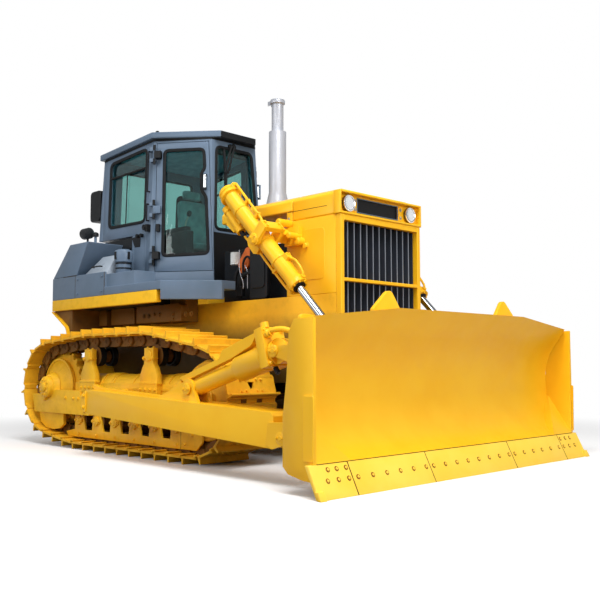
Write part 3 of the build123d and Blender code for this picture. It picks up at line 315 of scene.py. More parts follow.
def sprayPaint(name, colour, shadeColour, rough, coat=0.0, grime=0.0):
    # Alkyd enamel sprayed over primer on steel plate: an even colour that drifts a little from panel to panel,
    # a fine orange peel in the gloss and thin grey-brown dust where it collects.
    material, tree, shader, where = newMaterial(name, {
        "Coat Weight": coat, "Coat Roughness": paintFinish["coatRoughness"],
        "Specular IOR Level": paintFinish["shine"]})
    patches = addNode(tree, "ShaderNodeTexNoise", inputs={
        "Vector": where, "Scale": 1000 / paintFinish["patchSize"], "Detail": 3.0, "Roughness": 0.55})
    base = addNode(tree, "ShaderNodeValToRGB", {"stops": [(0.35, shadeColour), (0.65, colour)]},
                   {0: patches.outputs["Fac"]}).outputs["Color"]
    dust = addNode(tree, "ShaderNodeTexNoise", inputs={
        "Vector": where, "Scale": 1000 / paintFinish["grimeSize"], "Detail": 6.0, "Roughness": 0.65})
    if grime:
        amount = addNode(tree, "ShaderNodeMapRange", inputs={
            "Value": dust.outputs["Fac"], "From Min": 0.48, "From Max": 0.75, "To Min": 0.0, "To Max": grime})
        mixed = addNode(tree, "ShaderNodeMix", {"data_type": "RGBA"}, {
            0: amount.outputs["Result"], 6: base, 7: linear(paintFinish["dust"])})
        base = mixed.outputs[2]
    tree.links.new(base, shader.inputs["Base Color"])
    gloss = addNode(tree, "ShaderNodeMapRange", inputs={
        "Value": dust.outputs["Fac"], "From Min": 0.3, "From Max": 0.7,
        "To Min": rough - 0.05, "To Max": rough + 0.09})
    tree.links.new(gloss.outputs["Result"], shader.inputs["Roughness"])
    peel = addNode(tree, "ShaderNodeTexNoise", inputs={
        "Vector": where, "Scale": 1000 / paintFinish["peelSize"], "Detail": 1.0})
    bump = addNode(tree, "ShaderNodeBump", inputs={
        "Height": peel.outputs["Fac"], "Strength": paintFinish["peelDepth"], "Distance": 0.0006})
    tree.links.new(bump.outputs["Normal"], shader.inputs["Normal"])
    return material


def shadedHull(name, colour, shadeColour, clean, shadedFrom, axis="Z", paintedShadeColour="#2A1E10"):
    # Hull paint with painted shade: darker towards the ground, where shade falls between the tracks; or, along y,
    # darker inside, where shade falls under the deck. clean and shadedFrom are metres from the ground or from the
    # middle.
    material = sprayPaint(name, colour, shadeColour, rough=0.5, grime=0.2)
    tree = material.node_tree
    shader = tree.nodes["Principled BSDF"]
    paint = shader.inputs["Base Color"].links[0].from_socket
    where = addNode(tree, "ShaderNodeTexCoord").outputs["Object"]
    place = addNode(tree, "ShaderNodeSeparateXYZ", inputs={0: where}).outputs[axis]
    place = addNode(tree, "ShaderNodeMath", {"operation": "ABSOLUTE"}, {0: place})
    # the share of painted shade: 0.93 at shadedFrom and below, none from clean on, turning the paint to
    # paintedShadeColour
    amount = addNode(tree, "ShaderNodeMapRange", inputs={
        "Value": place.outputs[0], "From Min": shadedFrom, "From Max": clean, "To Min": 0.93, "To Max": 0.0})
    mixed = addNode(tree, "ShaderNodeMix", {"data_type": "RGBA"}, {
        0: amount.outputs["Result"], 6: paint, 7: linear(paintedShadeColour)})
    tree.links.new(mixed.outputs[2], shader.inputs["Base Color"])
    return material


# the hull's paint: painted shade, darker towards the ground between the tracks
hullEnamel = shadedHull("hullEnamel", "#F2B824", "#E8AC1C", clean=1.36, shadedFrom=1.1)
# the band's brackets: painted shade, dark brown inside the band, where they stand in shadow under the deck
bandEnamel = shadedHull("bandEnamel", "#F9C222", "#F6BB1A", clean=1.119, shadedFrom=1.09, axis="Y", paintedShadeColour="#6E4518")
yellowEnamel = sprayPaint("yellowEnamel", "#F7BE20", "#F4B718", rough=0.36, coat=0.05)
chassisEnamel = sprayPaint("chassisEnamel", "#F7BF24", "#EEB31C", rough=0.45, coat=0.05, grime=0.18)
trackEnamel = sprayPaint("trackEnamel", "#F5BC28", "#E6A81E", rough=0.5, grime=0.26)
chainEnamel = sprayPaint("chainEnamel", "#8A5F22", "#5A3D18", rough=0.62, grime=0.75)
edgeEnamel = sprayPaint("edgeEnamel", "#FFD250", "#FCCB40", rough=0.4)
slateEnamel = sprayPaint("slateEnamel", "#63758A", "#5B6D80", rough=0.38, coat=0.08)
paleGreyEnamel = sprayPaint("paleGreyEnamel", "#A5B0BB", "#9DA8B4", rough=0.3, coat=0.2)
blackEnamel = sprayPaint("blackEnamel", "#131518", "#0E1012", rough=0.45)
boltRust = sprayPaint("boltRust", "#9A6616", "#7A4D10", rough=0.6, grime=0.4)
slatEnamel = sprayPaint("slatEnamel", "#373C46", "#2F343E", rough=0.4, coat=0.1)
slatEdgeEnamel = sprayPaint("slatEdgeEnamel", "#7E8590", "#747B86", rough=0.4)
silverPaint = sprayPaint("silverPaint", "#B4B7BE", "#A9ACB4", rough=0.38)
silverPaint.node_tree.nodes["Principled BSDF"].inputs["Metallic"].default_value = 0.35


def platedMetal(name, colour, low, high, scale=40.0, detail=3.0):
    # Chromed or zinc plated metal: a soft mirror whose roughness drifts from low to high where it was handled.
    # The rods' hard chrome is ground and polished, and has the finer haze.
    material, tree, shader, where = newMaterial(name, {"Metallic": 1.0, "Base Color": linear(colour)})
    haze = addNode(tree, "ShaderNodeTexNoise", inputs={"Vector": where, "Scale": scale, "Detail": detail})
    gloss = addNode(tree, "ShaderNodeMapRange", inputs={
        "Value": haze.outputs["Fac"], "To Min": low, "To Max": high})
    tree.links.new(gloss.outputs["Result"], shader.inputs["Roughness"])
    return material


hardChrome = platedMetal("hardChrome", "#9A9EA3", 0.06, 0.16, 60.0, 2.0)
chromeTrim = platedMetal("chromeTrim", "#F0F1F2", 0.084, 0.196)
zincSteel = platedMetal("zincSteel", "#B9B6A8", 0.228, 0.532)


def mouldedRubber(name, colour, rough=0.62):
    # Extruded or moulded rubber, plastic and coarse cloth: matt, with a pebbled grain about 1.5 mm across and a
    # tone that drifts to half as bright again.
    material, tree, shader, where = newMaterial(name, {"Roughness": rough, "Specular IOR Level": 0.22})
    grain = addNode(tree, "ShaderNodeTexNoise", inputs={"Vector": where, "Scale": 650.0, "Detail": 2.0})
    tone = addNode(tree, "ShaderNodeTexNoise", inputs={"Vector": where, "Scale": 12.0, "Detail": 2.0})
    base = addNode(tree, "ShaderNodeValToRGB", {"stops": [(0.3, colour), (0.8, colour)]}, {0: tone.outputs["Fac"]})
    base.color_ramp.elements[1].color = [min(1.0, v * 1.5 + 0.004) for v in linear(colour)[:3]] + [1.0]
    tree.links.new(base.outputs["Color"], shader.inputs["Base Color"])
    bump = addNode(tree, "ShaderNodeBump", inputs={
        "Height": grain.outputs["Fac"], "Strength": 0.2, "Distance": 0.0006})
    tree.links.new(bump.outputs["Normal"], shader.inputs["Normal"])
    return material


blackRubber = mouldedRubber("blackRubber", "#090B0D")
darkPlastic = mouldedRubber("darkPlastic", "#16191C", rough=0.5)
seatCloth = mouldedRubber("seatCloth", "#6E8A8C", rough=0.85)
# the headliner's cloth, lightened to pale blue: painted reflection of the sky in the cab's glass
linerPaintedReflection = mouldedRubber("linerPaintedReflection", "#86B4C8", rough=0.85)
shadowGap = mouldedRubber("shadowGap", "#3A2A0C", rough=0.9)
orangePlastic = mouldedRubber("orangePlastic", "#C8642A", rough=0.4)
whitePlastic = mouldedRubber("whitePlastic", "#C9CCCB", rough=0.45)


def tintedGlass(name, colour):
    # Tempered float glass with a green heat-absorbing tint: clear, mirror smooth, a trace of waviness.
    material, tree, shader, where = newMaterial(name, {
        "Base Color": linear(colour), "Transmission Weight": 1.0, "Roughness": 0.02, "IOR": 1.45})
    wave = addNode(tree, "ShaderNodeTexNoise", inputs={"Vector": where, "Scale": 3.0, "Detail": 1.0})
    bump = addNode(tree, "ShaderNodeBump", inputs={
        "Height": wave.outputs["Fac"], "Strength": 0.03, "Distance": 0.002})
    tree.links.new(bump.outputs["Normal"], shader.inputs["Normal"])
    # light passes straight through a flat pane, so it reaches what stands behind
    clear = addNode(tree, "ShaderNodeBsdfTransparent", inputs={"Color": linear(colour)})
    shadow = addNode(tree, "ShaderNodeLightPath").outputs["Is Shadow Ray"]
    pane = addNode(tree, "ShaderNodeMixShader", inputs={0: shadow, 1: shader.outputs[0], 2: clear.outputs[0]})
    tree.links.new(pane.outputs[0], tree.nodes["Material Output"].inputs["Surface"])
    return material


cabPaneGlass = tintedGlass("cabPaneGlass", "#A2CAC6")
lampGlass = tintedGlass("lampGlass", "#F4F6F6")


# CAD nodes get their finish, and their sheet and casting edges a small round.

finishes = {
    # node: (material, edge round in mm)
    "sprockets": (trackEnamel, 3), "final_drives": (chassisEnamel, 8), "idlers": (trackEnamel, 6),
    "rollers": (chainEnamel, 5), "roller_guards": (chassisEnamel, 4), "track_frames": (chassisEnamel, 7),
    "track_frame_pivots": (hullEnamel, 5), "main_frame": (hullEnamel, 5),
    "transmission_case": (hullEnamel, 12), "belly_guard": (hullEnamel, 5), "drawbar": (chassisEnamel, 6),
    "engine_block": (blackEnamel, 12), "radiator": (blackEnamel, 5), "radiator_guards": (yellowEnamel, 6),
    "headlamp_panel": (yellowEnamel, 16), "hood_rear": (yellowEnamel, 16),
    "hood_front": (yellowEnamel, 18), "exhaust_stack": (silverPaint, 3), "rain_cap": (silverPaint, 2),
    "cab_front": (slateEnamel, 6), "cab_side_left": (slateEnamel, 6), "cab_side_right": (slateEnamel, 6),
    "cab_rear": (slateEnamel, 6), "cab_roof": (slateEnamel, 12), "cab_floor": (blackRubber, 3),
    "cab_shelf": (slateEnamel, 4), "door_left": (slateEnamel, 5), "door_right": (slateEnamel, 5),
    "cab_glass": (cabPaneGlass, 0), "door_glass_left": (cabPaneGlass, 0), "door_glass_right": (cabPaneGlass, 0),
    "fenders": (slateEnamel, 7), "fender_bands": (bandEnamel, 5), "fuel_tank": (slateEnamel, 9),
    "battery_boxes": (paleGreyEnamel, 8), "air_cleaner": (slateEnamel, 6), "work_lamps": (darkPlastic, 8),
    "seat_base": (darkPlastic, 10), "control_consoles": (darkPlastic, 18), "lift_yokes": (yellowEnamel, 8),
    "lift_barrel_left": (yellowEnamel, 5), "lift_barrel_right": (yellowEnamel, 5),
    "lift_rod_left": (hardChrome, 2), "lift_rod_right": (hardChrome, 2), "push_arms": (yellowEnamel, 8),
    "tilt_cylinder": (yellowEnamel, 8), "tilt_brace": (yellowEnamel, 8), "blade": (yellowEnamel, 5),
    "cutting_edges": (edgeEnamel, 3), "end_bits": (edgeEnamel, 4),
}


def finishNode(name, material, width):
    # Welds the node's loose triangles, joins flat faces and rounds the edges; a pane keeps its flat shading.
    node = nodes[name]
    faces = node.data.polygons
    node.data.materials.clear()
    node.data.materials.append(material)
    faces.foreach_set("material_index", np.zeros(len(faces), np.int32))
    faces.foreach_set("use_smooth", np.full(len(faces), bool(width)))
    weld = node.modifiers.new("joinTriangles", "WELD")
    weld.merge_threshold = edgeRounding["weld"]
    if width:
        flat = node.modifiers.new("flatFaces", "DECIMATE")
        flat.decimate_type = "DISSOLVE"
        flat.angle_limit = math.radians(edgeRounding["flatAngle"])
        softEdges(node, width)


for nodeName, (finish, edgeRound) in finishes.items():
    finishNode(nodeName, finish, edgeRound)
print("CAD nodes finished")


# Tracks: one fixed loop a side, drawn link by link along its own path.

chain = {
    # the chain's path: pin line round sprocket, track rollers, idler and the two carrier rollers
    "links": 38, "teeth": 25, "idlerPinRadius": 430, "rollerPinRadius": 165, "carrierPinRadius": 155,
    "firstRoller": (560, 295), "carriers": (815, 1935), "carrierHeight": 979,
    "middle": 1000, "shoeHalf": 280, "shoeIn": 54, "shoeOut": 75, "grouser": 130, "shoeCorner": 14,
    "gap": 4, "hole": (92, 152), "holeWidths": (16, 38), "shoeBolts": ((72, 172), (62, 118)),
    "rearRail": (91, 114), "frontRail": (67, 90), "waist": (88, 119), "bushing": (66, 33),
}


def beltRuns(sprocketRadius):
    # Arcs about the five wheels joined by their outer tangents; each run is (kind, a, b, c, d, turn, length).
    wheels = [(0, axleZ, sprocketRadius), (*chain["firstRoller"], chain["rollerPinRadius"]),
              (idlerX, idlerZ, chain["idlerPinRadius"])]
    wheels += [(x, chain["carrierHeight"], chain["carrierPinRadius"]) for x in reversed(chain["carriers"])]
    normals = []
    for (x, z, r), (nextX, nextZ, nextR) in zip(wheels, wheels[1:] + wheels[:1]):
        heading = math.atan2(nextZ - z, nextX - x)
        normals.append(heading - math.acos((r - nextR) / math.hypot(nextX - x, nextZ - z)))
    runs = []
    for i, (x, z, r) in enumerate(wheels):
        turn = (normals[i] - normals[i - 1]) % (2 * math.pi)
        runs.append(("arc", x, z, r, normals[i - 1], turn, r * turn))
        nextX, nextZ, nextR = wheels[(i + 1) % len(wheels)]
        away = np.array([math.cos(normals[i]), math.sin(normals[i])])
        start, end = np.array([x, z]) + r * away, np.array([nextX, nextZ]) + nextR * away
        runs.append(("line", *start, *end, 0, float(np.linalg.norm(end - start))))
    return runs


def beltPins():
    # Equal steps along the path, with the sprocket's pin circle as large as its teeth need.
    radius = chain["idlerPinRadius"]
    for _ in range(30):
        runs = beltRuns(radius)
        pitch = sum(run[-1] for run in runs) / chain["links"]
        radius = pitch * chain["teeth"] / (4 * math.pi)
    pins = []
    for i in range(chain["links"]):
        distance = i * pitch
        for kind, a, b, c, d, turn, length in runs:
            if distance <= length:
                break
            distance -= length
        share = distance / length
        if kind == "arc":
            pins.append((a + c * math.cos(d + turn * share), b + c * math.sin(d + turn * share)))
        else:
            pins.append((a + (c - a) * share, b + (d - b) * share))
    return np.array(pins), pitch


beltPinPlaces, linkPitch = beltPins()


def shoeParts():
    # One shoe in (along, y, outward): a plate with a mud hole, lips at both ends, one grouser and four bolts.
    half, low, high = chain["shoeHalf"], chain["shoeIn"], chain["shoeOut"]
    near, far, corner = chain["gap"], linkPitch - chain["gap"], chain["shoeCorner"]
    (holeNear, holeFar), (holeNarrow, holeWide) = chain["hole"], chain["holeWidths"]
    plan = [(near, 0), (holeNear, 0), (holeNear, holeNarrow), (holeFar, holeWide), (holeFar, 0), (far, 0),
            (far, half - corner), (far - corner, half), (near + corner, half), (near, half - corner)]
    plate = prism(plan, "z", low, high)
    parts = bothSides([plate])
    tip = chain["grouser"]
    parts.append(prism([(14, high - 2), (50, high - 2), (43, high + 16), (40, tip - 5), (36, tip), (26, tip),
                        (21, tip - 5), (19, high + 16)], "y", half, -half))
    lip = [(far - 34, high - 3), (far + 1, high - 3), (far + 1, high + 5), (far - 20, high + 5)]
    parts.append(prism(lip, "y", half - 16, 16 - half))
    # the next shoe's overlapping edge, which closes the belt where it bends
    tuck = [(far - 22, low + 0.5), (far - 16, low - 14), (linkPitch + 28, low - 16), (linkPitch + 28, low - 8),
            (far, low - 7), (far, low + 0.5)]
    parts += bothSides([prism(tuck, "y", 124, half - 4)]) + [prism(tuck, "y", -58, 58)]
    boltsAlong, boltsOut = chain["shoeBolts"]
    boltPlaces = [(x, side * y, high) for x in boltsAlong for y in boltsOut for side in (-1, 1)]
    parts.append(bolts(boltPlaces, (0, 0, 1), radius=13, height=13, washer=1.25))
    return parts


def linkParts():
    # One pair of forged link plates: the rail along the inside, offset ends and the bosses round pin and bushing.
    rail = [(-34, 12), (-26, 44), (4, 54), (linkPitch - 60, 54), (linkPitch - 8, 50), (linkPitch + 34, 20),
            (linkPitch + 38, -8), (linkPitch + 26, -44), (linkPitch - 30, -60), (26, -60), (-20, -46), (-34, -18)]
    waist = [(54, 54), (linkPitch - 66, 54), (linkPitch - 78, 12), (linkPitch - 92, 0), (92, 0), (72, 12)]
    parts, split = [], linkPitch / 2
    rear = [(min(x, split), z) for x, z in rail]
    front = [(max(x, split), z) for x, z in rail]
    for outline, sides in ((rear, "rearRail"), (front, "frontRail")):
        parts.append(prism(list(dict.fromkeys(outline)), "y", *chain[sides]))
    parts.append(prism(waist, "y", *chain["waist"]))
    parts.append(turned((0, 91, 0), (0, 1, 0), [(0, 44), (22, 44), (27, 38), (27, 24), (20, 22)], 18))
    parts.append(turned((linkPitch, 66, 0), (0, 1, 0), [(0, 48), (24, 48)], 18))
    half, radius = chain["bushing"]
    return bothSides(parts) + [turned((0, -half, 0), (0, 1, 0), [(0, radius), (2 * half, radius)], 16)]


def trackPieces():
    # One shoe and one pair of links repeated at each pin, turned along the line to the next pin.
    nextPins = np.roll(beltPinPlaces, -1, axis=0)
    along = nextPins - beltPinPlaces
    along /= np.linalg.norm(along, axis=1, keepdims=True)
    outward = np.stack([along[:, 1], np.zeros(len(along)), -along[:, 0]], axis=1)
    along = np.stack([along[:, 0], np.zeros(len(along)), along[:, 1]], axis=1)
    origins = np.stack([beltPinPlaces[:, 0], np.full(len(along), chain["middle"]), beltPinPlaces[:, 1]], axis=1)
    shoes = [placed(part, origins, along, outward) for part in shoeParts()]
    links = [placed(part, origins, along, outward) for part in linkParts()]
    addSides("chassis", ("trackShoes", shoes, trackEnamel, 0, "track_"), ("trackLinks", links, chainEnamel, 0, ""))


trackPieces()
print("tracks made")


# Radiator grille: a yellow frame, dark upright slats set back behind it and their pale rolled edges.

grilleBars = {
    "half": 560, "opening": 515, "front": 3865, "rear": 3805, "low": 1000, "high": 2195,
    "bars": ((1000, 1060), (1609, 1640), (2141, 2195)),
    "slats": 11, "pitch": 85.8, "slatFront": 3826, "slatRear": 3766, "slatHalf": 4.5, "slatLow": 1040,
    "slatHigh": 2160, "endPlateSide": 500,
}


def makeGrille(g):
    # Slats stand at equal steps about the middle; each has a wider pale edge in front.
    uprights = [box(g["rear"], g["front"], y0, y1, g["low"], g["high"])
                for y0, y1 in ((-g["half"], -g["opening"]), (g["opening"], g["half"]))]
    bars = [box(g["rear"] + 1, g["front"] - 1, -g["opening"], g["opening"], z0, z1) for z0, z1 in g["bars"]]
    addPiece("grilleFrame", uprights + bars, yellowEnamel, bevel=7, segments=3, stands=["grille"])

    def row(places, rear, front, half, inset):
        # one upright block at each place
        return [box(rear, front, y - half, y + half, g["slatLow"] + inset, g["slatHigh"] - inset) for y in places]

    places = (np.arange(g["slats"]) - (g["slats"] - 1) / 2) * g["pitch"]
    front = g["slatFront"]
    addPiece("grilleSlats", row(places, g["slatRear"], front - 4, g["slatHalf"], 0), slatEnamel)
    addPiece("grilleSlatEdges", row(places, front - 5, front, g["slatHalf"] + 1, 1), slatEdgeEnamel, bevel=1.5)
    ends = [box(g["slatRear"], front - 8, y - 3, y + 3, 1062, 2139) for y in (-g["endPlateSide"], g["endPlateSide"])]
    addPiece("grilleEndPlates", ends, slatEnamel)


makeGrille(grilleBars)


# Headlamps in their open box: bowl, chrome rim, clear lens and a small bracket plate with two bolts; a black plate of
# painted shade closes the box's opening.

headlamp = {
    "front": 3858, "side": 433, "height": 2300, "radius": 72, "depth": 44,
    "plate": (3813.5, 3818, 300, 345, 2232, 2368), "plateBolts": (322, 2262, 2338),
    "opening": (289, 2236, 2369), "shadeFront": 3798, "openingFrame": (3806, 3815),
}


def makeHeadlamps(h):
    # Turned about x from the back's middle, as (distance, radius).
    bowls, rims, lenses, backs, plates, fixings = [], [], [], [], [], []
    r, d = h["radius"], h["depth"]
    # the bowl's radius grows as the square root of the distance from its bottom, and the lens is an ellipse
    bowl = [(d * 0.45 + d * 0.4 * t, (r - 7) * math.sqrt(t)) for t in np.linspace(0.02, 1, 9)]
    dome = [(d * 0.8 + 6 * math.cos(t), (r - 8) * math.sin(t)) for t in np.linspace(0.05, math.pi / 2, 7)]
    back = [(0, r * 0.55), (4, r * 0.8), (d * 0.45, r * 0.98), (d * 0.5, r * 0.9), (d * 0.3, r * 0.5)]
    rim = [(d * 0.55, r - 3), (d * 0.8, r + 3), (d * 0.95, r + 1), (d, r - 5), (d * 0.95, r - 9), (d * 0.8, r - 9)]
    turnings = ((backs, back, 40), (bowls, bowl + [(d * 0.86, r - 4), (d * 0.42, r - 4)], 48), (rims, rim, 48),
                (lenses, dome + [(d * 0.72, r - 8)], 48))
    x0, x1, near, far, z0, z1 = h["plate"]
    boltSide, *boltHeights = h["plateBolts"]
    for side in (-1, 1):
        middle = (h["front"] - d, side * h["side"], h["height"])
        for parts, profile, around in turnings:
            parts.append(turned(middle, (1, 0, 0), profile, around))
        plates.append(box(x0, x1, *sorted((side * near, side * far)), z0, z1))
        fixings += [(x1, side * boltSide, z) for z in boltHeights]
    addPiece("headlampBacks", backs, darkPlastic, stands=["headlamps"])
    addPiece("headlampBowls", bowls, chromeTrim)
    addPiece("headlampRims", rims, chromeTrim)
    addPiece("headlampLenses", lenses, lampGlass)
    addPiece("headlampPlates", plates, yellowEnamel, bevel=2)
    addPiece("headlampBolts", [bolts(fixings, (1, 0, 0), radius=11, height=7)], zincSteel)
    # a black plate across the box's opening: painted shade standing for the dark hole behind the lamps, in a thin
    # grey frame
    half, low, high = h["opening"]
    addPiece("lampOpeningShade", [box(h["shadeFront"] - 7.5, h["shadeFront"], -half, half, low, high)], blackEnamel)
    x0, x1 = h["openingFrame"]
    strips = [box(x0, x1, -half, half, low, low + 7), box(x0, x1, -half, half, high - 7, high)]
    strips += [box(x0, x1, y - 3, y + 3, low + 7, high - 7) for y in (3 - half, half - 3)]
    addPiece("lampOpeningFrame", strips, slateEnamel)


makeHeadlamps(headlamp)


hoodSide = {
    "face": 560, "panel": (3238, 3669, 1640, 2098), "panelCorner": 40, "pull": (3445, 1950),
    "boltsX": 3218, "boltHeights": (2222, 2168, 1640, 1580), "fold": (3206, 3700, 2281, 2285),
    "topHinges": (2700, 3420), "topHingeHeight": 2446, "topHingeLength": 120,
}


def makeHoodDetails(h):
    # Pressed side panel with a round pull, a bolted rear edge and the fold under the hood's edge.
    face = h["face"]
    panel = prism(roundedOutline(*h["panel"], h["panelCorner"]), "y", face - 2, face + 3.5)
    pull = turned((h["pull"][0], face, h["pull"][1]), (0, 1, 0),
                  [(0, 34), (5, 34), (9, 20), (18, 20), (24, 26), (30, 20)], 28)
    fixings = bolts([(h["boltsX"], face, z) for z in h["boltHeights"]], (0, 1, 0), radius=9, height=5)
    fold = prism(roundedOutline(*h["fold"], 1.9, 4), "y", face - 4, face + 1.2)
    addPiece("guardSidePanels", bothSides([panel]), yellowEnamel, bevel=3)
    addPiece("guardPulls", bothSides([pull]), yellowEnamel)
    addPiece("guardSideBolts", bothSides([fixings]), zincSteel)
    addPiece("hoodSideFolds", bothSides([fold]), shadowGap)
    z = h["topHingeHeight"]
    hinges = [pipe([(x, 0, z), (x + h["topHingeLength"], 0, z)], 7, 10, 10) for x in h["topHinges"]]
    addPiece("hoodTopHinges", hinges, yellowEnamel)


makeHoodDetails(hoodSide)
print("front made")


# Cab: the walls lean, so a place on one is read from its two plan lines, at the floor and at the roof.

cabPlan = {
    "roofLevel": 3405, "floorLevel": 1700.3,
    "top": ((1755, 310), (1235, 690), (325, 740)),
    "floor": ((1855, 345), (1235, 740), (235, 790)),
}
frontWall, rearWall, doorWall, sideWall = (1855, 1755), (235, 325), (1, 0), (2, 1)  # x below and above; corners


def wallRise(z):
    # A height as a share of the way from the cab's floor to its roof.
    return (z - cabPlan["floorLevel"]) / (cabPlan["roofLevel"] - cabPlan["floorLevel"])


def wallPlaces(wall, points, out=0.0):
    # (u, z) along the wall's upper line and up, as places on its outer face moved outward by out.
    points = np.asarray(points, float)
    topStart, topEnd, lowStart, lowEnd = [np.array(cabPlan[level][corner], float)
                                          for level in ("top", "floor") for corner in wall]
    along = (topEnd - topStart) / np.linalg.norm(topEnd - topStart)
    rise = wallRise(points[:, 1:])
    first, last = lowStart + (topStart - lowStart) * rise, lowEnd + (topEnd - lowEnd) * rise
    share = (points[:, :1] + topStart @ along - first @ along[:, None]) / ((last - first) @ along[:, None])
    flat = first + (last - first) * share + np.array([-along[1], along[0]]) * out
    return np.column_stack([flat, points[:, 1]])


def bead(path, outward, section):
    # A section of (across, out) carried round a closed path; across is square to the path and to outward.
    outward = np.asarray(outward, float)
    heading = np.roll(path, -1, axis=0) - np.roll(path, 1, axis=0)
    heading /= np.linalg.norm(heading, axis=1, keepdims=True)
    across = np.cross(heading, outward)
    across /= np.linalg.norm(across, axis=1, keepdims=True)
    section = np.asarray(section, float)
    rings = path[:, None] + section[None, :, :1] * across[:, None] + section[None, :, 1:] * outward
    return skin(np.concatenate([rings, rings[:1]]), capped=False)


def wallPoint(wall, u, z, out=0.0):
    # One such place.
    return wallPlaces(wall, [(u, z)], out)[0]


sealSection = [(-17, -10), (-17, 3), (-12, 8), (10, 8), (17, 4), (19, -2), (19, -10)]
windowOutlines = {
    # (along the wall, up) with the corners' reach
    "door": ([(123, 2050), (636, 2063), (599, 2680), (552, 2735), (539, 2935), (578, 2990), (563, 3204),
              (123, 3204)], 52),
    "side": ([(130, 2440), (796, 2440), (796, 3250), (130, 3185)], 66),
    "front": ([(-300, 2330), (300, 2330), (250, 3240), (-250, 3240)], 64),
    "rear": ([(-520, 2460), (520, 2460), (520, 3150), (-520, 3150)], 64),
}


def sealOnSide(wall, name):
    # The seal's section round a window in the door's or the side wall, standing out of that wall.
    outline, radius = windowOutlines[name]
    way = wallPoint(wall, *outline[0], 1) - wallPoint(wall, *outline[0])
    return bead(wallPlaces(wall, softOutline(outline, radius, 7)), way, sealSection)


def sealAcross(wall, name, facing):
    # The same round a window square to the machine, in a wall that leans from one x to the other.
    flat = softOutline(*windowOutlines[name], 7)
    path = np.column_stack([wall[0] + (wall[1] - wall[0]) * wallRise(flat[:, 1]), flat])
    return bead(path, (facing, 0, 0), sealSection)


addSides("door_", ("doorSeal", [sealOnSide(doorWall, "door")], blackRubber, 0, ""))
addPiece("sideWindowSeals", bothSides([sealOnSide(sideWall, "side")]), blackRubber)
addPiece("windshieldSeal", [sealAcross(frontWall, "front", 1)], blackRubber)
addPiece("rearWindowSeal", [sealAcross(rearWall, "rear", -1)], blackRubber)


def wallBar(wall, line, radius, out):
    # A round bar between two places on a wall.
    return rod(*wallPlaces(wall, line, out), radius, 14)


# the side window slides: a rail across it and the meeting stile of its panes
addPiece("sideWindowRails", bothSides([wallBar(sideWall, [(118, 3010), (806, 3042)], 13, -6),
                                       wallBar(sideWall, [(430, 2440), (430, 3020)], 6, -14)]), blackRubber)

doorFittings = {
    # the pull's place and its ends; left and right stand off the wall
    "pullAlong": 590, "pullEnds": (2758, 2906), "stand": {"left": 14, "right": 36}, "gripRadius": 18,
    "hingePlace": (1292.574, 724.717), "hingeHeights": (2050, 2550, 3150), "hingeReach": (44, 104),
    "grabAlong": 872, "grabRods": ((2760, 3200), (2440, 2620)), "mounts": ((700, 2290), (770, 2290)),
    "latch": (800, 2380),
}


def makeDoorFittings(d):
    # Chrome pull in black end blocks, dark hinge barrels, a grab rod behind the door and a lock below the pull.
    u, (low, high) = d["pullAlong"], d["pullEnds"]
    for side, stand in d["stand"].items():
        grip = rod(*wallPlaces(doorWall, [(u, low), (u, high)], stand), d["gripRadius"], 20)
        blocks = []
        for z, step in ((low - 10, 22), (high + 10, -22)):
            place = wallPoint(doorWall, u, z, stand - 4)
            blocks.append(rod(place, place + np.array([0, 0, step]), 22, 16))
        turn = flipped if side == "right" else lambda part: part
        addPiece(f"doorPull_{side}", [turn(grip)], chromeTrim, body=f"door_{side}")
        addPiece(f"doorPullEnds_{side}", [turn(b) for b in blocks], darkPlastic, body=f"door_{side}", bevel=2)
    near, far = d["hingeReach"]
    hinges = [rod((*d["hingePlace"], z + a), (*d["hingePlace"], z + b), 15.5, 16)
              for z in d["hingeHeights"] for a, b in ((-far, -near), (near, far))]
    u = d["grabAlong"]
    rods = [wallBar(sideWall, [(u, a), (u, b)], 7, 34) for a, b in d["grabRods"]]
    for z in sum(d["grabRods"], ()):
        rods.append(wallBar(sideWall, [(u - 1, z), (u + 1, z)], 11, 30))
        rods.append(rod(wallPoint(sideWall, u, z), wallPoint(sideWall, u, z, 36), 8, 12))
    addPiece("cabHingeBarrels", bothSides(hinges), blackEnamel)
    addPiece("cabGrabRods", bothSides(rods), blackRubber)
    mounts = [rod(wallPoint(sideWall, *d["latch"], -5), wallPoint(sideWall, *d["latch"], 20), 26, 18)]
    mounts += [rod(wallPoint(sideWall, *place, -5), wallPoint(sideWall, *place, 34), 20, 18) for place in d["mounts"]]
    addPiece("cabSideMounts", bothSides(mounts), blackRubber, bevel=2)


makeDoorFittings(doorFittings)

roofTrim = {
    "ring": ((1757, 311), (1236, 693), (323, 743)), "ringHeights": (3325, 3325, 3240),
    "section": ((-4, -14), (7, -14), (7, 7), (-4, 7)),
    "fascia": (1838, 1842, -247, 247, 3331, 3398), "underside": ((1250, 728), (1834, 243)),
    "undersideHeights": (3326, 3332.6), "knob": (1238, 650, 3395),
    "liner": (395, 1235, 680), "linerRise": ((330, 3238), (1235, 3323)),
}


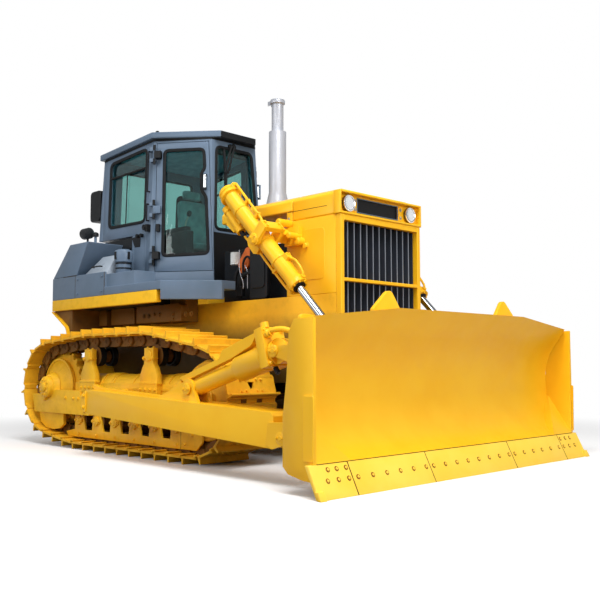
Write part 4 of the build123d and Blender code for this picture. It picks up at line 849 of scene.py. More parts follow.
def makeRoofTrim(t):
    # Black seal under the roof's edge, black fascia and underside at the front, a small vent knob on each side and
    # the sloping headliner, pale blue as painted reflection of the sky in the glass. The seal's section grows and
    # shrinks the ring about the middle.
    def wholeRing(places):
        # the left half and its mirror image, as one outline
        return list(places) + [(x, -y) for x, y in reversed(places)]

    ring = np.array(wholeRing(t["ring"]), float)
    height = np.array(t["ringHeights"] + t["ringHeights"][::-1], float)
    size = np.linalg.norm(ring, axis=1, keepdims=True)
    rings = np.array([np.column_stack([ring * (1 + out / size), height + low]) for out, low in t["section"]])
    rings = rings.transpose(1, 0, 2)
    addPiece("roofSeal", [skin(np.concatenate([rings, rings[:1]]), capped=False)], blackRubber)
    visor = [box(*t["fascia"]), prism(wholeRing(t["underside"]), "z", *t["undersideHeights"])]
    addPiece("roofVisor", visor, blackEnamel)
    knob = turned(t["knob"], (0, 0, 1), [(0, 30), (14, 30), (18, 20), (34, 20), (40, 14)], 20)
    addPiece("roofKnobs", bothSides([knob]), blackEnamel)
    rear, front, half = t["liner"]
    (x0, z0), (x1, z1) = t["linerRise"]
    slope = (z1 - z0) / (x1 - x0)
    grid = np.array([[(x, y, z0 + slope * (x - x0)) for y in (-half, half)] for x in (rear, front)], float)
    addPiece("headliner", [sheet(grid)], linerPaintedReflection, open=True)


makeRoofTrim(roofTrim)


wiper = {
    # motor covers (y, z, profile); pipes as (y, z, off the glass) with radius, bend and sides
    "covers": ((-20, 3270, [(0, 34), (26, 34), (34, 24)]), (-64, 3268, [(0, 26), (24, 26), (30, 18)])),
    "arms": ((((-20, 3268, 30), (-69, 3110, 26), (-118, 2960, 22)), 12, 60, 10),
             (((-64, 3268, 30), (-112, 3110, 26), (-160, 2960, 22)), 12, 60, 10)),
    "link": ((-112, 2966, 26), (-166, 2954, 26)),
    "blade": ((((-150, 3180, 12), (-138, 2960, 24), (-150, 2740, 12)), 12, 120, 10),
              (((-152, 3220, 8), (-146, 2960, 8), (-152, 2690, 8)), 14, 120, 8)),
}


def onGlass(y, z, out):
    # A place that stands out from the leaning windshield.
    return np.array([frontWall[0] + (frontWall[1] - frontWall[0]) * wallRise(z) + out, y, z])


def makeWiper(w):
    # A pantograph wiper: motor covers above the glass, two parallel arms down to a long blade.
    parts = [turned(onGlass(y, z, -6), (1, 0, 0), profile, 24) for y, z, profile in w["covers"]]
    runs = [pipe([onGlass(*place) for place in places], *size) for places, *size in w["arms"] + w["blade"]]
    link = rod(*[onGlass(*place) for place in w["link"]], 8, 10)
    addPiece("wiper", parts + runs[:2] + [link] + runs[2:], blackRubber)


makeWiper(wiper)

cabInside = {
    "dash": [(1560, 1760), (1660, 1760), (1690, 2330), (1640, 2392), (1500, 2360), (1480, 2290), (1590, 2240)],
    "dashHalf": 170, "leverSide": 345, "leverLean": 0.97, "armrestSide": 352, "armrest": (1020, 1420, 42),
    "shell": [(-205, 2290), (205, 2290), (185, 2830), (-185, 2830)], "shellDepth": (957, 972),
}


def makeCabInside(c):
    # Dashboard, two control levers with their knobs, armrests and the seat's hard back.
    half = c["dashHalf"]
    addPiece("dashboard", [prism(softOutline(c["dash"], 30), "y", -half, half)], darkPlastic, bevel=6)
    levers, knobs = [], []
    for y in (-c["leverSide"], c["leverSide"]):
        head = y * c["leverLean"]
        levers.append(pipe([(1340, y, 2330), (1352, y, 2440), (1400, head, 2530)], 8, 60, 12))
        knobs.append(turned((1392, head, 2512), (0.5, 0, 1), [(0, 14), (14, 24), (40, 27), (58, 18), (64, 6)], 20))
    addPiece("controlLevers", levers, zincSteel)
    addPiece("leverKnobs", knobs, darkPlastic)
    rear, front, half = c["armrest"]
    pads = [prism(roundedOutline(rear, front, y - half, y + half, 30), "z", 2348, 2398)
            for y in (-c["armrestSide"], c["armrestSide"])]
    addPiece("armrestPads", pads, darkPlastic, bevel=14, segments=3)
    addPiece("seatBackShell", [prism(softOutline(c["shell"], 70), "x", *c["shellDepth"])], darkPlastic, bevel=4)


makeCabInside(cabInside)


# Seat: foam under cloth. Each pad starts a little small and is blown up by the cloth solver.

seatPads = {
    "cushion": {"size": (415, 452, 96), "middle": (1216, 0, 2194), "tilt": 0.0, "round": 46, "puff": 14},
    "backrest": {"size": (78, 430, 520), "middle": (1030, 0, 2520), "tilt": -0.075, "round": 34, "puff": 14},
    "headrest": {"size": (66, 250, 118), "middle": (1000, 0, 2838), "tilt": -0.075, "round": 26, "puff": 9},
}

foam = {"power": 0.28, "poleGap": 0.02, "inset": 6, "voxel": 0.009, "pressure": 4, "frames": 20, "fill": 0.8}


def padShell(pad, steps=16):
    # Superellipsoid of exponent 0.28: a box whose faces stay nearly flat and whose corners are full rounds.
    end = math.pi / 2 - foam["poleGap"]
    u = np.linspace(-end, end, steps)[:, None]
    v = np.linspace(0, 2 * math.pi, 4 * steps, endpoint=False)[None]

    def soft(value):
        # the value's size to that power, with its sign
        return np.sign(value) * np.abs(value) ** foam["power"]

    half = np.array(pad["size"]) / 2 - foam["inset"]
    x = half[0] * soft(np.cos(u)) * soft(np.cos(v))
    y = half[1] * soft(np.cos(u)) * soft(np.sin(v))
    z = half[2] * soft(np.sin(u)) * np.ones_like(v)
    turn = pad["tilt"]
    shape = np.stack([x * math.cos(turn) + z * math.sin(turn), y, z * math.cos(turn) - x * math.sin(turn)], axis=-1)
    return skin(shape + np.array(pad["middle"]))


def puffed(piece, limit):
    # Remesh, blow up with the cloth solver, hold every point within limit and keep the result as the mesh.
    scene = bpy.context.scene
    remesh = piece.modifiers.new("evenGrid", "REMESH")
    remesh.mode = "VOXEL"
    remesh.voxel_size = foam["voxel"]
    bpy.context.view_layer.objects.active = piece
    bpy.ops.object.modifier_apply(modifier=remesh.name)
    rest = np.empty(len(piece.data.vertices) * 3)
    piece.data.vertices.foreach_get("co", rest)
    cloth = piece.modifiers.new("foam", "CLOTH")
    cloth.settings.use_pressure = True
    cloth.settings.uniform_pressure_force = foam["pressure"]
    cloth.settings.effector_weights.gravity = 0
    cloth.point_cache.frame_end = foam["frames"]
    for step in range(1, foam["frames"] + 1):
        scene.frame_set(step)
    settled = piece.evaluated_get(bpy.context.evaluated_depsgraph_get()).to_mesh()
    blown = np.empty(len(settled.vertices) * 3)
    settled.vertices.foreach_get("co", blown)
    piece.modifiers.remove(cloth)
    move = (blown - rest).reshape(-1, 3)
    size = np.linalg.norm(move, axis=1, keepdims=True)
    move *= np.minimum(1, limit / 1000 / np.maximum(size, 1e-9))
    piece.data.vertices.foreach_set("co", (rest.reshape(-1, 3) + move).ravel())
    piece.data.update()
    scene.frame_set(1)


def makeSeat():
    # Each pad is blown up, within half its puff, and then rounded once; the cushion stands for the CAD's cushions.
    for name, pad in seatPads.items():
        stands = ["seat_cushions"] if name == "cushion" else ()
        piece = addPiece(f"seat_{name}", [padShell(pad)], seatCloth, stands=stands)
        puffed(piece, pad["puff"] * 0.5)
        piece.data.materials[0] = seatCloth
        piece.data.polygons.foreach_set("use_smooth", np.ones(len(piece.data.polygons), bool))
        smooth = piece.modifiers.new("foamRound", "SUBSURF")
        smooth.levels = smooth.render_levels = 1


makeSeat()
print("cab made")


cabRear = {"duct": [(-10, 2562), (214, 2562), (214, 2930), (-10, 2930)], "ductSides": (604, 736),
           "armHeights": (2640, 2860), "undercover": (345, 1060, -740, 740, 2170, 2284)}


def makeCabRear(c):
    # Dark rounded air duct behind each rear corner with its two arms, and the cover under the cab's shelf.
    duct = prism(softOutline(c["duct"], 56), "y", *c["ductSides"])
    addPiece("rearHousing", bothSides([duct]), blackEnamel, bevel=18, segments=4)
    arms = [rod((200, 670, z), (330, 670, z), 14, 14) for z in c["armHeights"]]
    addPiece("rearHousingArms", bothSides(arms), blackEnamel)
    addPiece("cabUndercover", [box(*c["undercover"])], darkPlastic)


makeCabRear(cabRear)


def wallBlock(wall, u0, u1, z0, z1, near, far):
    # A block that stands on a wall, from (u0, z0) to (u1, z1) and out from near to far.
    corners = [(u0, z0), (u1, z0), (u1, z1), (u0, z1)]
    return skin(np.array([wallPlaces(wall, corners, out) for out in (near, far)]))


# black covers on the hinge leaves and the striker below them, and the two keepers that hold the door open
hingeCovers = [(24, 100, 2010, 2090, 4, 69), (24, 100, 3110, 3190, 4, 69), (54, 92, 2310, 2392, -4, 46)]
doorKeepers = [(866, 906, 2318, 2396, -4, 52), (846, 874, 2334, 2368, 20, 66)]
addSides("door_", ("hingeCovers", [wallBlock(doorWall, *c) for c in hingeCovers], blackEnamel, 4, ""))
addPiece("doorKeepers", bothSides([wallBlock(sideWall, *c) for c in doorKeepers]), blackEnamel, bevel=4)

# black plate over the front wall below the window: it follows the wall's lean
apron = [(-340, 1706), (340, 1706), (326, 2292), (-326, 2292)]
addPiece("frontApron", [skin(np.array([[onGlass(y, z, out) for y, z in apron] for out in (1, 4)]))], blackEnamel)


# Lift cylinders: places are given along the cylinder from its pivot and square to it, forward and up.

liftPivot = {"x": 3195, "side": 850, "height": 2000}
liftAxis, liftUp = np.array([1, 0, -1]) / math.sqrt(2), np.array([1, 0, 1]) / math.sqrt(2)


def liftPlace(distance, offset=0, out=0):
    # A place by its distance along the cylinder, its offset square to it and its way out to the side.
    origin = np.array([liftPivot["x"], liftPivot["side"] + out, liftPivot["height"]], float)
    return origin + distance * liftAxis + offset * liftUp


def hoop(start, direction, inner, outer, width, sides=40):
    # A rectangle turned about a line at a distance from it, closed on itself as a ring with softened edges.
    direction, side, up = [v[0] for v in frameAlong(direction)]
    soft = min(3.0, width / 4, (outer - inner) / 3)
    section = np.array([(0, inner), (0, outer - soft), (soft, outer), (width - soft, outer), (width, outer - soft),
                        (width, inner)])
    circle = circleIn(side, up, sides)
    rings = np.asarray(start, float) + section[:, :1, None] * direction + section[:, 1:, None] * circle
    return skin(np.concatenate([rings, rings[:1]]), capped=False)


def boltCircle(middle, facing, radius, count, size, height, turn=0.0):
    # Bolts at equal steps round a circle.
    facing, side, up = [v[0] for v in frameAlong(facing)]
    places = np.asarray(middle, float) + radius * circleIn(side, up, count, turn)
    return bolts(places, facing, radius=size, height=height, washer=1.15)


def liftSlab(corners, near, far):
    # A plate square to y whose corners are (distance, offset).
    flat = [liftPlace(*corner)[[0, 2]] for corner in corners]
    return prism(flat, "y", liftPivot["side"] + near, liftPivot["side"] + far)


def liftPipe(places, radius, bend):
    # A hard pipe through places on the cylinder.
    return pipe([liftPlace(*place) for place in places], radius, bend)


liftParts = {
    # hoops (distance, inner, outer, width); rods (distance, offset, distance, offset, radius, sides)
    "hoops": ((-664, 73, 104, 26), (-700, 75, 96, 14),
              (-433, 73, 83, 26), (-53, 73, 83, 26), (27, 73, 83, 26), (287, 73, 83, 26)),
    "valveRods": ((-600, -122, -300, -140, 38, 28), (-622, -120, -560, -124, 45, 28),
                  (-330, -139, -290, -142, 44, 28), (-580, -68, -580, -130, 26, 20),
                  (606, -68, 606, -100, 22, 18), (606, 68, 606, 104, 22, 18)),
    "portRods": ((-292, -142, -236, -145, 22, 18), (-240, -112, -240, -160, 17, 16)),
    # slabs: corners (distance, offset) and half thickness
    "slabs": ((((-446, 70), (-414, 70), (-418, 136), (-442, 136)), 20),
              (((-246, 70), (-214, 70), (-218, 136), (-242, 136)), 20),
              (((-545, -60), (-350, -60), (-362, -205), (-500, -222), (-530, -180)), 14),
              (((-150, -62), (44, -62), (44, -132), (10, -156), (-96, -150), (-150, -120)), 36),
              (((300, -60), (332, -60), (328, -124), (304, -124)), 20),
              (((312, 60), (378, 60), (372, 112), (318, 112)), 30)),
    # hard pipes: places (distance, offset), radius and bend
    "pipes": ((((-690, 96), (-690, 132), (-610, 128), (-170, 118), (-110, 96), (-100, 70)), 12, 46),
              (((-240, -140), (-190, -140), (-120, -134)), 11, 30),
              (((40, -112), (150, -116), (520, -112), (606, -104), (612, -70)), 12, 50),
              (((356, 92), (420, 132), (500, 134), (590, 116), (612, 80)), 11, 50)),
}


def makeLiftCylinders(c):
    # Collars, end cap and port on the barrel, the cushion valve with its small cylinder under it, blocks and clips
    # for the pipes, bolts at both heads and the rod's wiper seal.
    def bars(name):
        # the round bars of one of the tables
        return [rod(liftPlace(a, b), liftPlace(d, e), radius, sides) for a, b, d, e, radius, sides in c[name]]

    barrel = [hoop(liftPlace(d), liftAxis, *size) for d, *size in c["hoops"]]
    barrel.append(turned(liftPlace(-722), -liftAxis, [(0, 86), (8, 84), (16, 60), (18, 30)], 32))
    barrel.append(turned(liftPlace(-690, 70), liftUp, [(0, 34), (34, 34), (40, 28), (52, 28), (56, 20)], 24))
    barrel += [liftSlab(corners, -half, half) for corners, half in c["slabs"]] + bars("valveRods")
    fixings = [boltCircle(liftPlace(-665), -liftAxis, 93, 8, 9, 9, 0.3),
               bolts([liftPlace(330, 112, y) for y in (-14, 14)], liftUp, radius=9, height=9),
               boltCircle(liftPlace(637), liftAxis, 71, 8, 9, 9, 0.2)]
    seal = hoop(liftPlace(636), liftAxis, 36.5, 58, 12)
    addSides("lift_barrel_",
             ("liftFittings", barrel, yellowEnamel, 3, ""),
             ("liftPipes", [liftPipe(*run) for run in c["pipes"]], yellowEnamel, 0, ""),
             ("liftBolts", fixings, yellowEnamel, 0, ""),
             ("liftPortCaps", bars("portRods"), blackRubber, 2, ""),
             ("liftWiper", [seal], blackRubber, 0, ""))


yokeParts = {
    "capSide": 122, "feet": ((-92, 150, 36), (96, 152, 30)), "footSide": -286, "guardFace": 561,
    "bracket": [(3220, 2090), (3310, 2100), (3400, 2036), (3424, 1980), (3390, 1944), (3300, 1985)],
    "bracketBolts": ((3366, 2040), (3290, 2074)), "bracketDepth": 24, "eye": (3392, 1992),
}


def makeYokeDetails(y):
    # Cap bolts on the yoke, pin covers on both its sides, and the bracket that bolts it to the guard's side.
    fixings = [bolts([liftPlace(d, 172, out) for d in (-26, 26) for out in (-86, 86)], liftUp, radius=14, height=13)]
    parts = []
    for way in (1, -1):
        facing = (0, way, 0)
        parts.append(turned(liftPlace(0, 0, way * y["capSide"]), facing, [(0, 50), (10, 50), (14, 44)], 28))
        fixings.append(boltCircle(liftPlace(0, 0, way * (y["capSide"] + 13)), facing, 30, 3, 8, 7, 0.4))
    for d, n, size in y["feet"]:
        profile = [(0, size), (150, size), (158, size - 9)]
        parts.append(turned(liftPlace(d, n, y["footSide"]), (0, 1, 0), profile, 24))
    face, depth = y["guardFace"], y["bracketDepth"]
    parts.append(prism(y["bracket"], "y", face, face + depth))
    fixings.append(bolts([(x, face + depth, z) for x, z in y["bracketBolts"]], (0, 1, 0), radius=13, height=12))
    x, z = y["eye"]
    parts.append(turned((x, face, z), (0, 1, 0), [(0, 38), (70, 36), (80, 24)], 24))
    addPiece("yokeFittings", bothSides(parts), yellowEnamel, bevel=3)
    addPiece("yokeBolts", bothSides(fixings), yellowEnamel)


makeLiftCylinders(liftParts)
makeYokeDetails(yokeParts)
print("lift cylinders made")


# Track frames: caps, bolts, guards' seams and the dark treads of the carrier rollers.

underside = {
    "rollers": [560 + 350 * i for i in range(6)], "rollerHeight": 295, "guardFace": 1150, "barFace": 1228,
    "carriers": (815, 1935), "carrierHeight": 979, "post": (1155, 1205), "middle": 1000, "lowBolt": 148,
    "rearBolts": ((2330, 148), (2450, 160), (2560, 250), (2450, 380)), "seam": (2388, 2392, 114, 418),
    "driveFace": 1274, "pivotCap": (-67, 531), "recoilHeight": 655, "recoilStraps": (960, 1180, 1540, 1760, 2140),
    "recoilCaps": (1040, 2200), "barBolts": ((389, 531), (661, 530), (560, 530), (800, 520), (800, 400)),
    "welds": ((720, 2350, 1148, 1156, 640, 664), (720, 2350, 1148, 1154, 470, 482)),
}
toSide = (0, 1, 0)  # straight out to the machine's left


def makeFinalDriveDetails(u):
    # Hub cap, bearing cover and pivot cap, their bolts, and the sprocket's dust guard between bearing and chain.
    face, bar = u["driveFace"], u["barFace"]
    x, z = u["pivotCap"]
    parts = [turned((0, face, axleZ), toSide, [(0, 108), (6, 108), (9, 102)], 40),
             turned((0, face + 8, axleZ), toSide, [(0, 52), (12, 52), (18, 44)], 32),
             turned((x, bar - 1, z), toSide, [(0, 44), (18, 44), (26, 34)], 24),
             hoop((0, 1092, axleZ), toSide, 296, 322, 10, 56)]
    fixings = [boltCircle((0, face + 8, axleZ), toSide, 84, 10, 10, 9),
               bolts([(x, bar, z) for x, z in u["barBolts"]], toSide, radius=15, height=13)]
    addPiece("finalDriveCaps", bothSides(parts), chassisEnamel, bevel=3)
    addPiece("finalDriveBolts", bothSides(fixings), chassisEnamel)


def makeRollerDetails(u):
    # An end cap on its keeper plate with two bolts at each track roller, and the guard's low row of bolts.
    caps, fixings = [], []
    face, z = u["guardFace"], u["rollerHeight"]
    profile = [(0, 50), (14, 50), (18, 44), (18, 26), (24, 22)]
    for x in u["rollers"]:
        caps.append(turned((x, face - 2, z), toSide, profile, 26))
        caps.append(box(x - 66, x + 66, face - 1, face + 9, z - 26, z + 26))
        fixings += [(x - 58, face + 9, z), (x + 58, face + 9, z), (x, face, u["lowBolt"])]
    fixings += [(x, face, z) for x, z in u["rearBolts"]]
    x0, x1, z0, z1 = u["seam"]
    addPiece("rollerCaps", bothSides(caps), chassisEnamel, bevel=2)
    addPiece("rollerBolts", bothSides([bolts(fixings, toSide, radius=14, height=12)]), chassisEnamel)
    addPiece("guardSeams", bothSides([box(x0, x1, face - 1, face + 1, z0, z1)]), shadowGap)


def makeCarrierDetails(u):
    # Clamp, cap and foot of each carrier roller's post, and the roller's two dark treads with their rims.
    clamps, sideBolts, topBolts, treads, rims = [], [], [], [], []
    z, (y0, y1), middle = u["carrierHeight"], u["post"], u["middle"]
    for x in u["carriers"]:
        clamps += [box(x - 88, x + 88, y0 - 4, y1 + 6, z - 34, z - 22),
                   turned((x, y1 - 2, z), toSide, [(0, 58), (12, 58), (16, 50)], 28),
                   box(x - 152, x + 152, y0 - 6, y1 + 12, 700, 724),
                   box(x - 152, x + 152, y1 - 1, y1 + 10, 600, 702)]
        sideBolts += [(x + step, y1 + 10, 650) for step in (-120, -40, 40, 120)]
        sideBolts += [(x + step, y1 + 6, z - 28) for step in (-72, 72)]
        topBolts += [(x + step, (y0 + y1) / 2, 1050) for step in (-48, 48)]
        treads += [hoop((x, middle + y, z), toSide, 60, 105.5, 66, 36) for y in (-106, 40)]
        rims += [hoop((x, middle + y, z), toSide, 60, 106.5, 5, 36) for y in (-112, 108)]
    marks = [bolts(places, facing, radius=13, height=12)
             for places, facing in ((sideBolts, toSide), (topBolts, (0, 0, 1)))]
    addPiece("carrierClamps", bothSides(clamps), chassisEnamel, bevel=5, segments=3)
    addPiece("carrierBolts", bothSides(marks), chassisEnamel)
    addPiece("carrierTreads", bothSides(treads), blackRubber)
    addPiece("carrierRims", bothSides(rims), chainEnamel)


def makeRecoilDetails(u):
    # Straps and end caps round the recoil spring's tube, and the weld lines along the frame.
    y, z = u["middle"], u["recoilHeight"]
    parts = [hoop((x, y, z), (1, 0, 0), 138, 148, 34, 48) for x in u["recoilStraps"]]
    profile = [(0, 146), (10, 152), (120, 152), (132, 146)]
    parts += [turned((x, y, z), (1, 0, 0), profile, 48) for x in u["recoilCaps"]]
    addPiece("recoilStraps", bothSides(parts), chassisEnamel)
    addPiece("frameWelds", bothSides([box(*weld) for weld in u["welds"]]), chassisEnamel, bevel=3)


for makeDetails in (makeFinalDriveDetails, makeRollerDetails, makeCarrierDetails, makeRecoilDetails):
    makeDetails(underside)
print("track frames finished")


# What shows of the engine between the guard and the cab.

engineBay = {
    "side": 500,
    # plates: outline, corner reach, from and to inward of the side
    "covers": (([(2600, 1520), (2850, 1520), (2850, 2040), (2600, 2040)], 30, -50, 0),
               ([(2630, 1620), (2820, 1620), (2820, 1940), (2630, 1940)], 40, -2, 14)),
    "orange": ([(2483, 2046), (2368, 1903), (2369, 1816), (2428, 1783), (2520, 1860), (2560, 2046)], 24, -90, -50),
    "starter": (2386, 2470, -60, -12, 1560, 1660), "filter": (2315, -62, 1884),
    # hoses and tubes: places (x, inward, z), radius and bend
    "hoses": ((((2420, -36, 1650), (2440, -30, 1740), (2520, -24, 1780), (2600, -30, 1780)), 26, 60),
              (((2440, -40, 1560), (2360, -30, 1620), (2350, -30, 1760), (2400, -40, 1850)), 16, 60),
              (((2600, -30, 1900), (2540, -20, 1960), (2480, -20, 1900), (2470, -30, 1780)), 12, 50)),
    "tubes": ((((2560, -10, 1630), (2560, -10, 1800), (2520, -10, 1860)), 4, 40),
              (((2500, -6, 1630), (2500, -6, 1700), (2440, -6, 1800), (2440, -6, 2020)), 4, 60)),
}


def makeEngineDressing(e):
    # Covers, hoses, thin tubes, an orange shroud and a ribbed white filter, all just inside the bay's side.
    side = e["side"]

    def plate(outline, reach, inner, outer):
        # a plate with soft corners, inward of the side
        return prism(softOutline(outline, reach), "y", side + inner, side + outer)

    def runs(name):
        # the pipes of one of the tables
        return [pipe([(x, side + y, z) for x, y, z in places], *size) for places, *size in e[name]]

    x0, x1, y0, y1, z0, z1 = e["starter"]
    darks = [plate(*cover) for cover in e["covers"]] + [box(x0, x1, side + y0, side + y1, z0, z1)]
    ribs = [(0, 46), (4, 52)]
    for i in range(6):
        ribs += [(4 + i * 19, 52), (14 + i * 19, 52), (14 + i * 19, 47), (20 + i * 19, 47)]
    x, y, z = e["filter"]
    oilFilter = turned((x, side + y, z), (0, 0, 1), ribs + [(122, 52), (127, 44)], 28)
    addPiece("engineCovers", bothSides(darks), blackEnamel, bevel=8, segments=3)
    addPiece("engineHoses", bothSides(runs("hoses")), blackRubber)
    addPiece("engineTubes", bothSides(runs("tubes")), silverPaint)
    addPiece("enginePaint", bothSides([plate(*e["orange"])]), orangePlastic, bevel=10, segments=3)
    addPiece("oilFilters", bothSides([oilFilter]), whitePlastic)


makeEngineDressing(engineBay)
print("engine dressed")


# Blade: bolted edges, wear plates and the hose guard over the tilt cylinder.

bladeEdge = {
    "foot": 4853, "lean": 111 / 221, "top": 221, "rowHeight": 115, "upperRow": 184,
    "joints": (-1468, -585, 585, 1468), "gapHalf": 3.2, "topGapHalf": 1768,
    "row": (77, 232, 387, 540, 635, 790, 945, 1100, 1256, 1412, 1507, 1612, 1718), "corner": (1502, 1596, 1683),
}


def edgePlace(y, z, out=0.0):
    # on the leaning face of the cutting edges, moved out of it
    way = np.array([1, 0, bladeEdge["lean"]]) / math.hypot(1, bladeEdge["lean"])
    return np.array([bladeEdge["foot"] - bladeEdge["lean"] * z, y, z]) + out * way


def makeEdgeBolts(e):
    # Square bolt heads in rusty recesses, the gaps between the edges' lengths and the gap along their top.
    way = edgePlace(0, 0, 1) - edgePlace(0, 0)
    places = [edgePlace(side * y, z) for row, z in ((e["row"], e["rowHeight"]), (e["corner"], e["upperRow"]))
              for y in row for side in (-1, 1)]
    recess = [turned(place - way, way, [(0, 19), (2.2, 19), (2.6, 15)], 20) for place in places]
    heads = [turned(place + way * 1.4, way, [(0, 12), (4, 12), (6, 8)], 4) for place in places]
    addPiece("edgeBoltSeats", recess, boltRust, body="blade_assembly")
    addPiece("edgeBoltHeads", heads, edgeEnamel, body="blade_assembly")

    def gap(corners, ends):
        # corners as (y, z, out of the face), moved along y or up the face to each end
        return skin(np.array([[edgePlace(y + side, z + rise, out) for y, z, out in corners] for side, rise in ends]))

    half, sunk, proud, top = e["gapHalf"], -4, 0.6, e["top"]
    upright = [(-half, 0, sunk), (-half, 0, proud), (half, 0, proud), (half, 0, sunk)]
    strips = [gap(upright, ((y, 2), (y, top - 2))) for y in e["joints"]]
    along = [(0, top - 1, sunk - 2), (0, top - 1, proud), (0, top + 4, proud), (0, top + 4, sunk - 2)]
    strips.append(gap(along, ((-e["topGapHalf"], 0), (e["topGapHalf"], 0))))
    addPiece("edgeJoints", strips, shadowGap, body="blade_assembly")


bladeBack = {
    # wear plate (x, z), hook plate (y, z), upright ribs (x, z) and the two bands across the back
    "wear": [(4650, 680), (4752, 680), (4744, 240), (4650, 240)], "wearSides": (1799, 1811),
    "hook": [(1640, 1120), (1792, 1120), (1792, 1226), (1766, 1240), (1690, 1240), (1640, 1226)],
    "hookDepth": (4585, 4612), "rib": [(4440, 250), (4446, 250), (4446, 1000), (4440, 980)],
    "ribSides": (300, 1120),
    "bands": ((4432, 4446, -1760, 1760, 236, 300), (4432, 4448, -1760, 1760, 560, 590)),
}


def makeBladePlates(b):
    # Wear plate inside each end, hook plate, ribs and bands on the back.
    plates = [prism(softOutline(b["wear"], 16), "y", *b["wearSides"]),
              prism(softOutline(b["hook"], 12), "x", *b["hookDepth"])]
    plates += [prism(b["rib"], "y", y - 8, y + 8) for y in b["ribSides"]]
    bands = [box(*band) for band in b["bands"]]
    addPiece("bladePlates", bothSides(plates) + bands, yellowEnamel, body="blade_assembly", bevel=3)


tilt = {
    "side": -1445, "lowPin": (2985, 685), "highPin": (4060, 992),
    "hoseGuard": [(2838, 778), (2904, 743), (3530, 937), (3776, 1040), (3850, 1149), (3576, 1060), (3404, 1000),
                  (3380, 940)],
    "armRail": [(1411, 700), (1445, 648), (2560, 590), (2700, 610), (2880, 718), (2850, 760), (2660, 640),
                (2560, 618), (1560, 672)],
    "sleeve": [(0, 69), (520, 69), (530, 76), (556, 84), (562, 99), (570, 105.2), (900, 105.2)],
    "head": 1065, "headBolts": ((-80, 185), (-90, 90)),
    # hard pipe over to the blade: (distance, offset, y)
    "pipe": ((1100, 158, -1520), (1150, 160, -1515), (1210, 150, -1480), (1300, 90, -1440), (1420, 30, -1400)),
    "pins": ((2985, 685, 1535), (4194, 352, 1585), (4060, 992, 1535)),
    "armTab": [(1352, 470), (1432, 424), (1432, 640), (1352, 600)], "armFace": 1578,
    "bladeTab": [(4040, 300), (4100, 262), (4230, 300), (4330, 312), (4330, 452), (4230, 470), (4060, 462)],
    "tabBolts": ((1396, 478), (1396, 588)), "collars": (290, 540, 800),
}


def strutPlace(distance, offset=0, y=tilt["side"]):
    # along the tilt cylinder from its lower pin; offset is square to it, upward
    start, end = np.array(tilt["lowPin"], float), np.array(tilt["highPin"], float)
    way = (end - start) / np.linalg.norm(end - start)
    x, z = start + way * distance + np.array([-way[1], way[0]]) * offset
    return np.array([x, y, z])


def makeTiltCylinder(t):
    # Hose guard and rail, smooth sleeve and barrel with a rolled shoulder, the bolted square head with its port
    # block, fitting and hard pipe.
    along = strutPlace(1) - strutPlace(0)
    head = t["head"]
    parts = [prism(softOutline(t["hoseGuard"], 26), "y", -1506, -1440),
             prism(softOutline(t["armRail"], 18), "y", -1500, -1452),
             turned(strutPlace(70), along, t["sleeve"], 64),
             hoop(strutPlace(940), along, 102, 111, 26, 56),
             hoop(strutPlace(head), along, 40, 104, 22),
             rod(strutPlace(1040, 205, -1500), strutPlace(1040, 250, -1500), 34, 24),
             turned(strutPlace(1062, 150, -1520), along, [(0, 34), (34, 34), (44, 26), (60, 26)], 24),
             pipe([strutPlace(*place) for place in t["pipe"]], 22, 60, 14)]
    offsets, sides = t["headBolts"]
    fixings = [bolts([strutPlace(d, n, t["side"] + y) for n in offsets for y in sides], way, radius=17, height=15)
               for d, way in ((head - 4, along), (976, -along))]
    addPiece("tiltFittings", parts, yellowEnamel, body="blade_assembly", bevel=3)
    addPiece("tiltBolts", fixings, yellowEnamel, body="blade_assembly")


def makeArmDetails(t):
    # A cover with two bolts on each pin, a bolted tab at both ends of the arm, and the other arm's screw brace
    # with its collars and handle.
    knuckles, marks = [], []
    for x, z, y in t["pins"]:
        knuckles.append(turned((x, y - 1, z), toSide, [(0, 50), (8, 50), (12, 44), (12, 20), (16, 18)], 28))
        marks.append(bolts([(x - 30, y + 12, z), (x + 30, y + 12, z)], toSide, radius=9, height=8))
    face = t["armFace"]
    knuckles += [prism(softOutline(t["armTab"], 20), "y", face, face + 12),
                 prism(softOutline(t["bladeTab"], 20), "y", face, face + 16)]
    marks.append(bolts([(x, face + 12, z) for x, z in t["tabBolts"]], toSide, radius=16, height=13))
    addPiece("armPinCaps", bothSides(knuckles), yellowEnamel, body="blade_assembly", bevel=3)
    addPiece("armPinBolts", bothSides(marks), yellowEnamel, body="blade_assembly")
    along, y = strutPlace(1) - strutPlace(0), -t["side"]
    brace = [hoop(strutPlace(d, 0, y), along, 64, 76, 30) for d in t["collars"]]
    brace.append(rod(strutPlace(560, 60, y), strutPlace(560, 190, y), 16, 16))
    addPiece("braceCollars", brace, yellowEnamel, body="blade_assembly")
    plug = rod(strutPlace(1040, -108, -1470), strutPlace(1060, -160, -1470), 20, 18)
    addPiece("tiltPortPlug", [plug], blackRubber, body="blade_assembly", bevel=2)


bladeCurve = {
    # front of the plate: lower arc, straight, upper arc and its tangent to the top edge
    "deep": 4477, "lowRadius": 462, "lowEnd": 640, "highStart": 740, "highRadius": 590, "topX": 4767, "top": 1312,
    "foot": 224, "half": 1750, "cornerHeight": 1213, "knee": 880, "corner": 1862, "cover": 2.0,
    "lugFoot": 1082, "lugCover": 18.0, "lugSpread": 150,
}


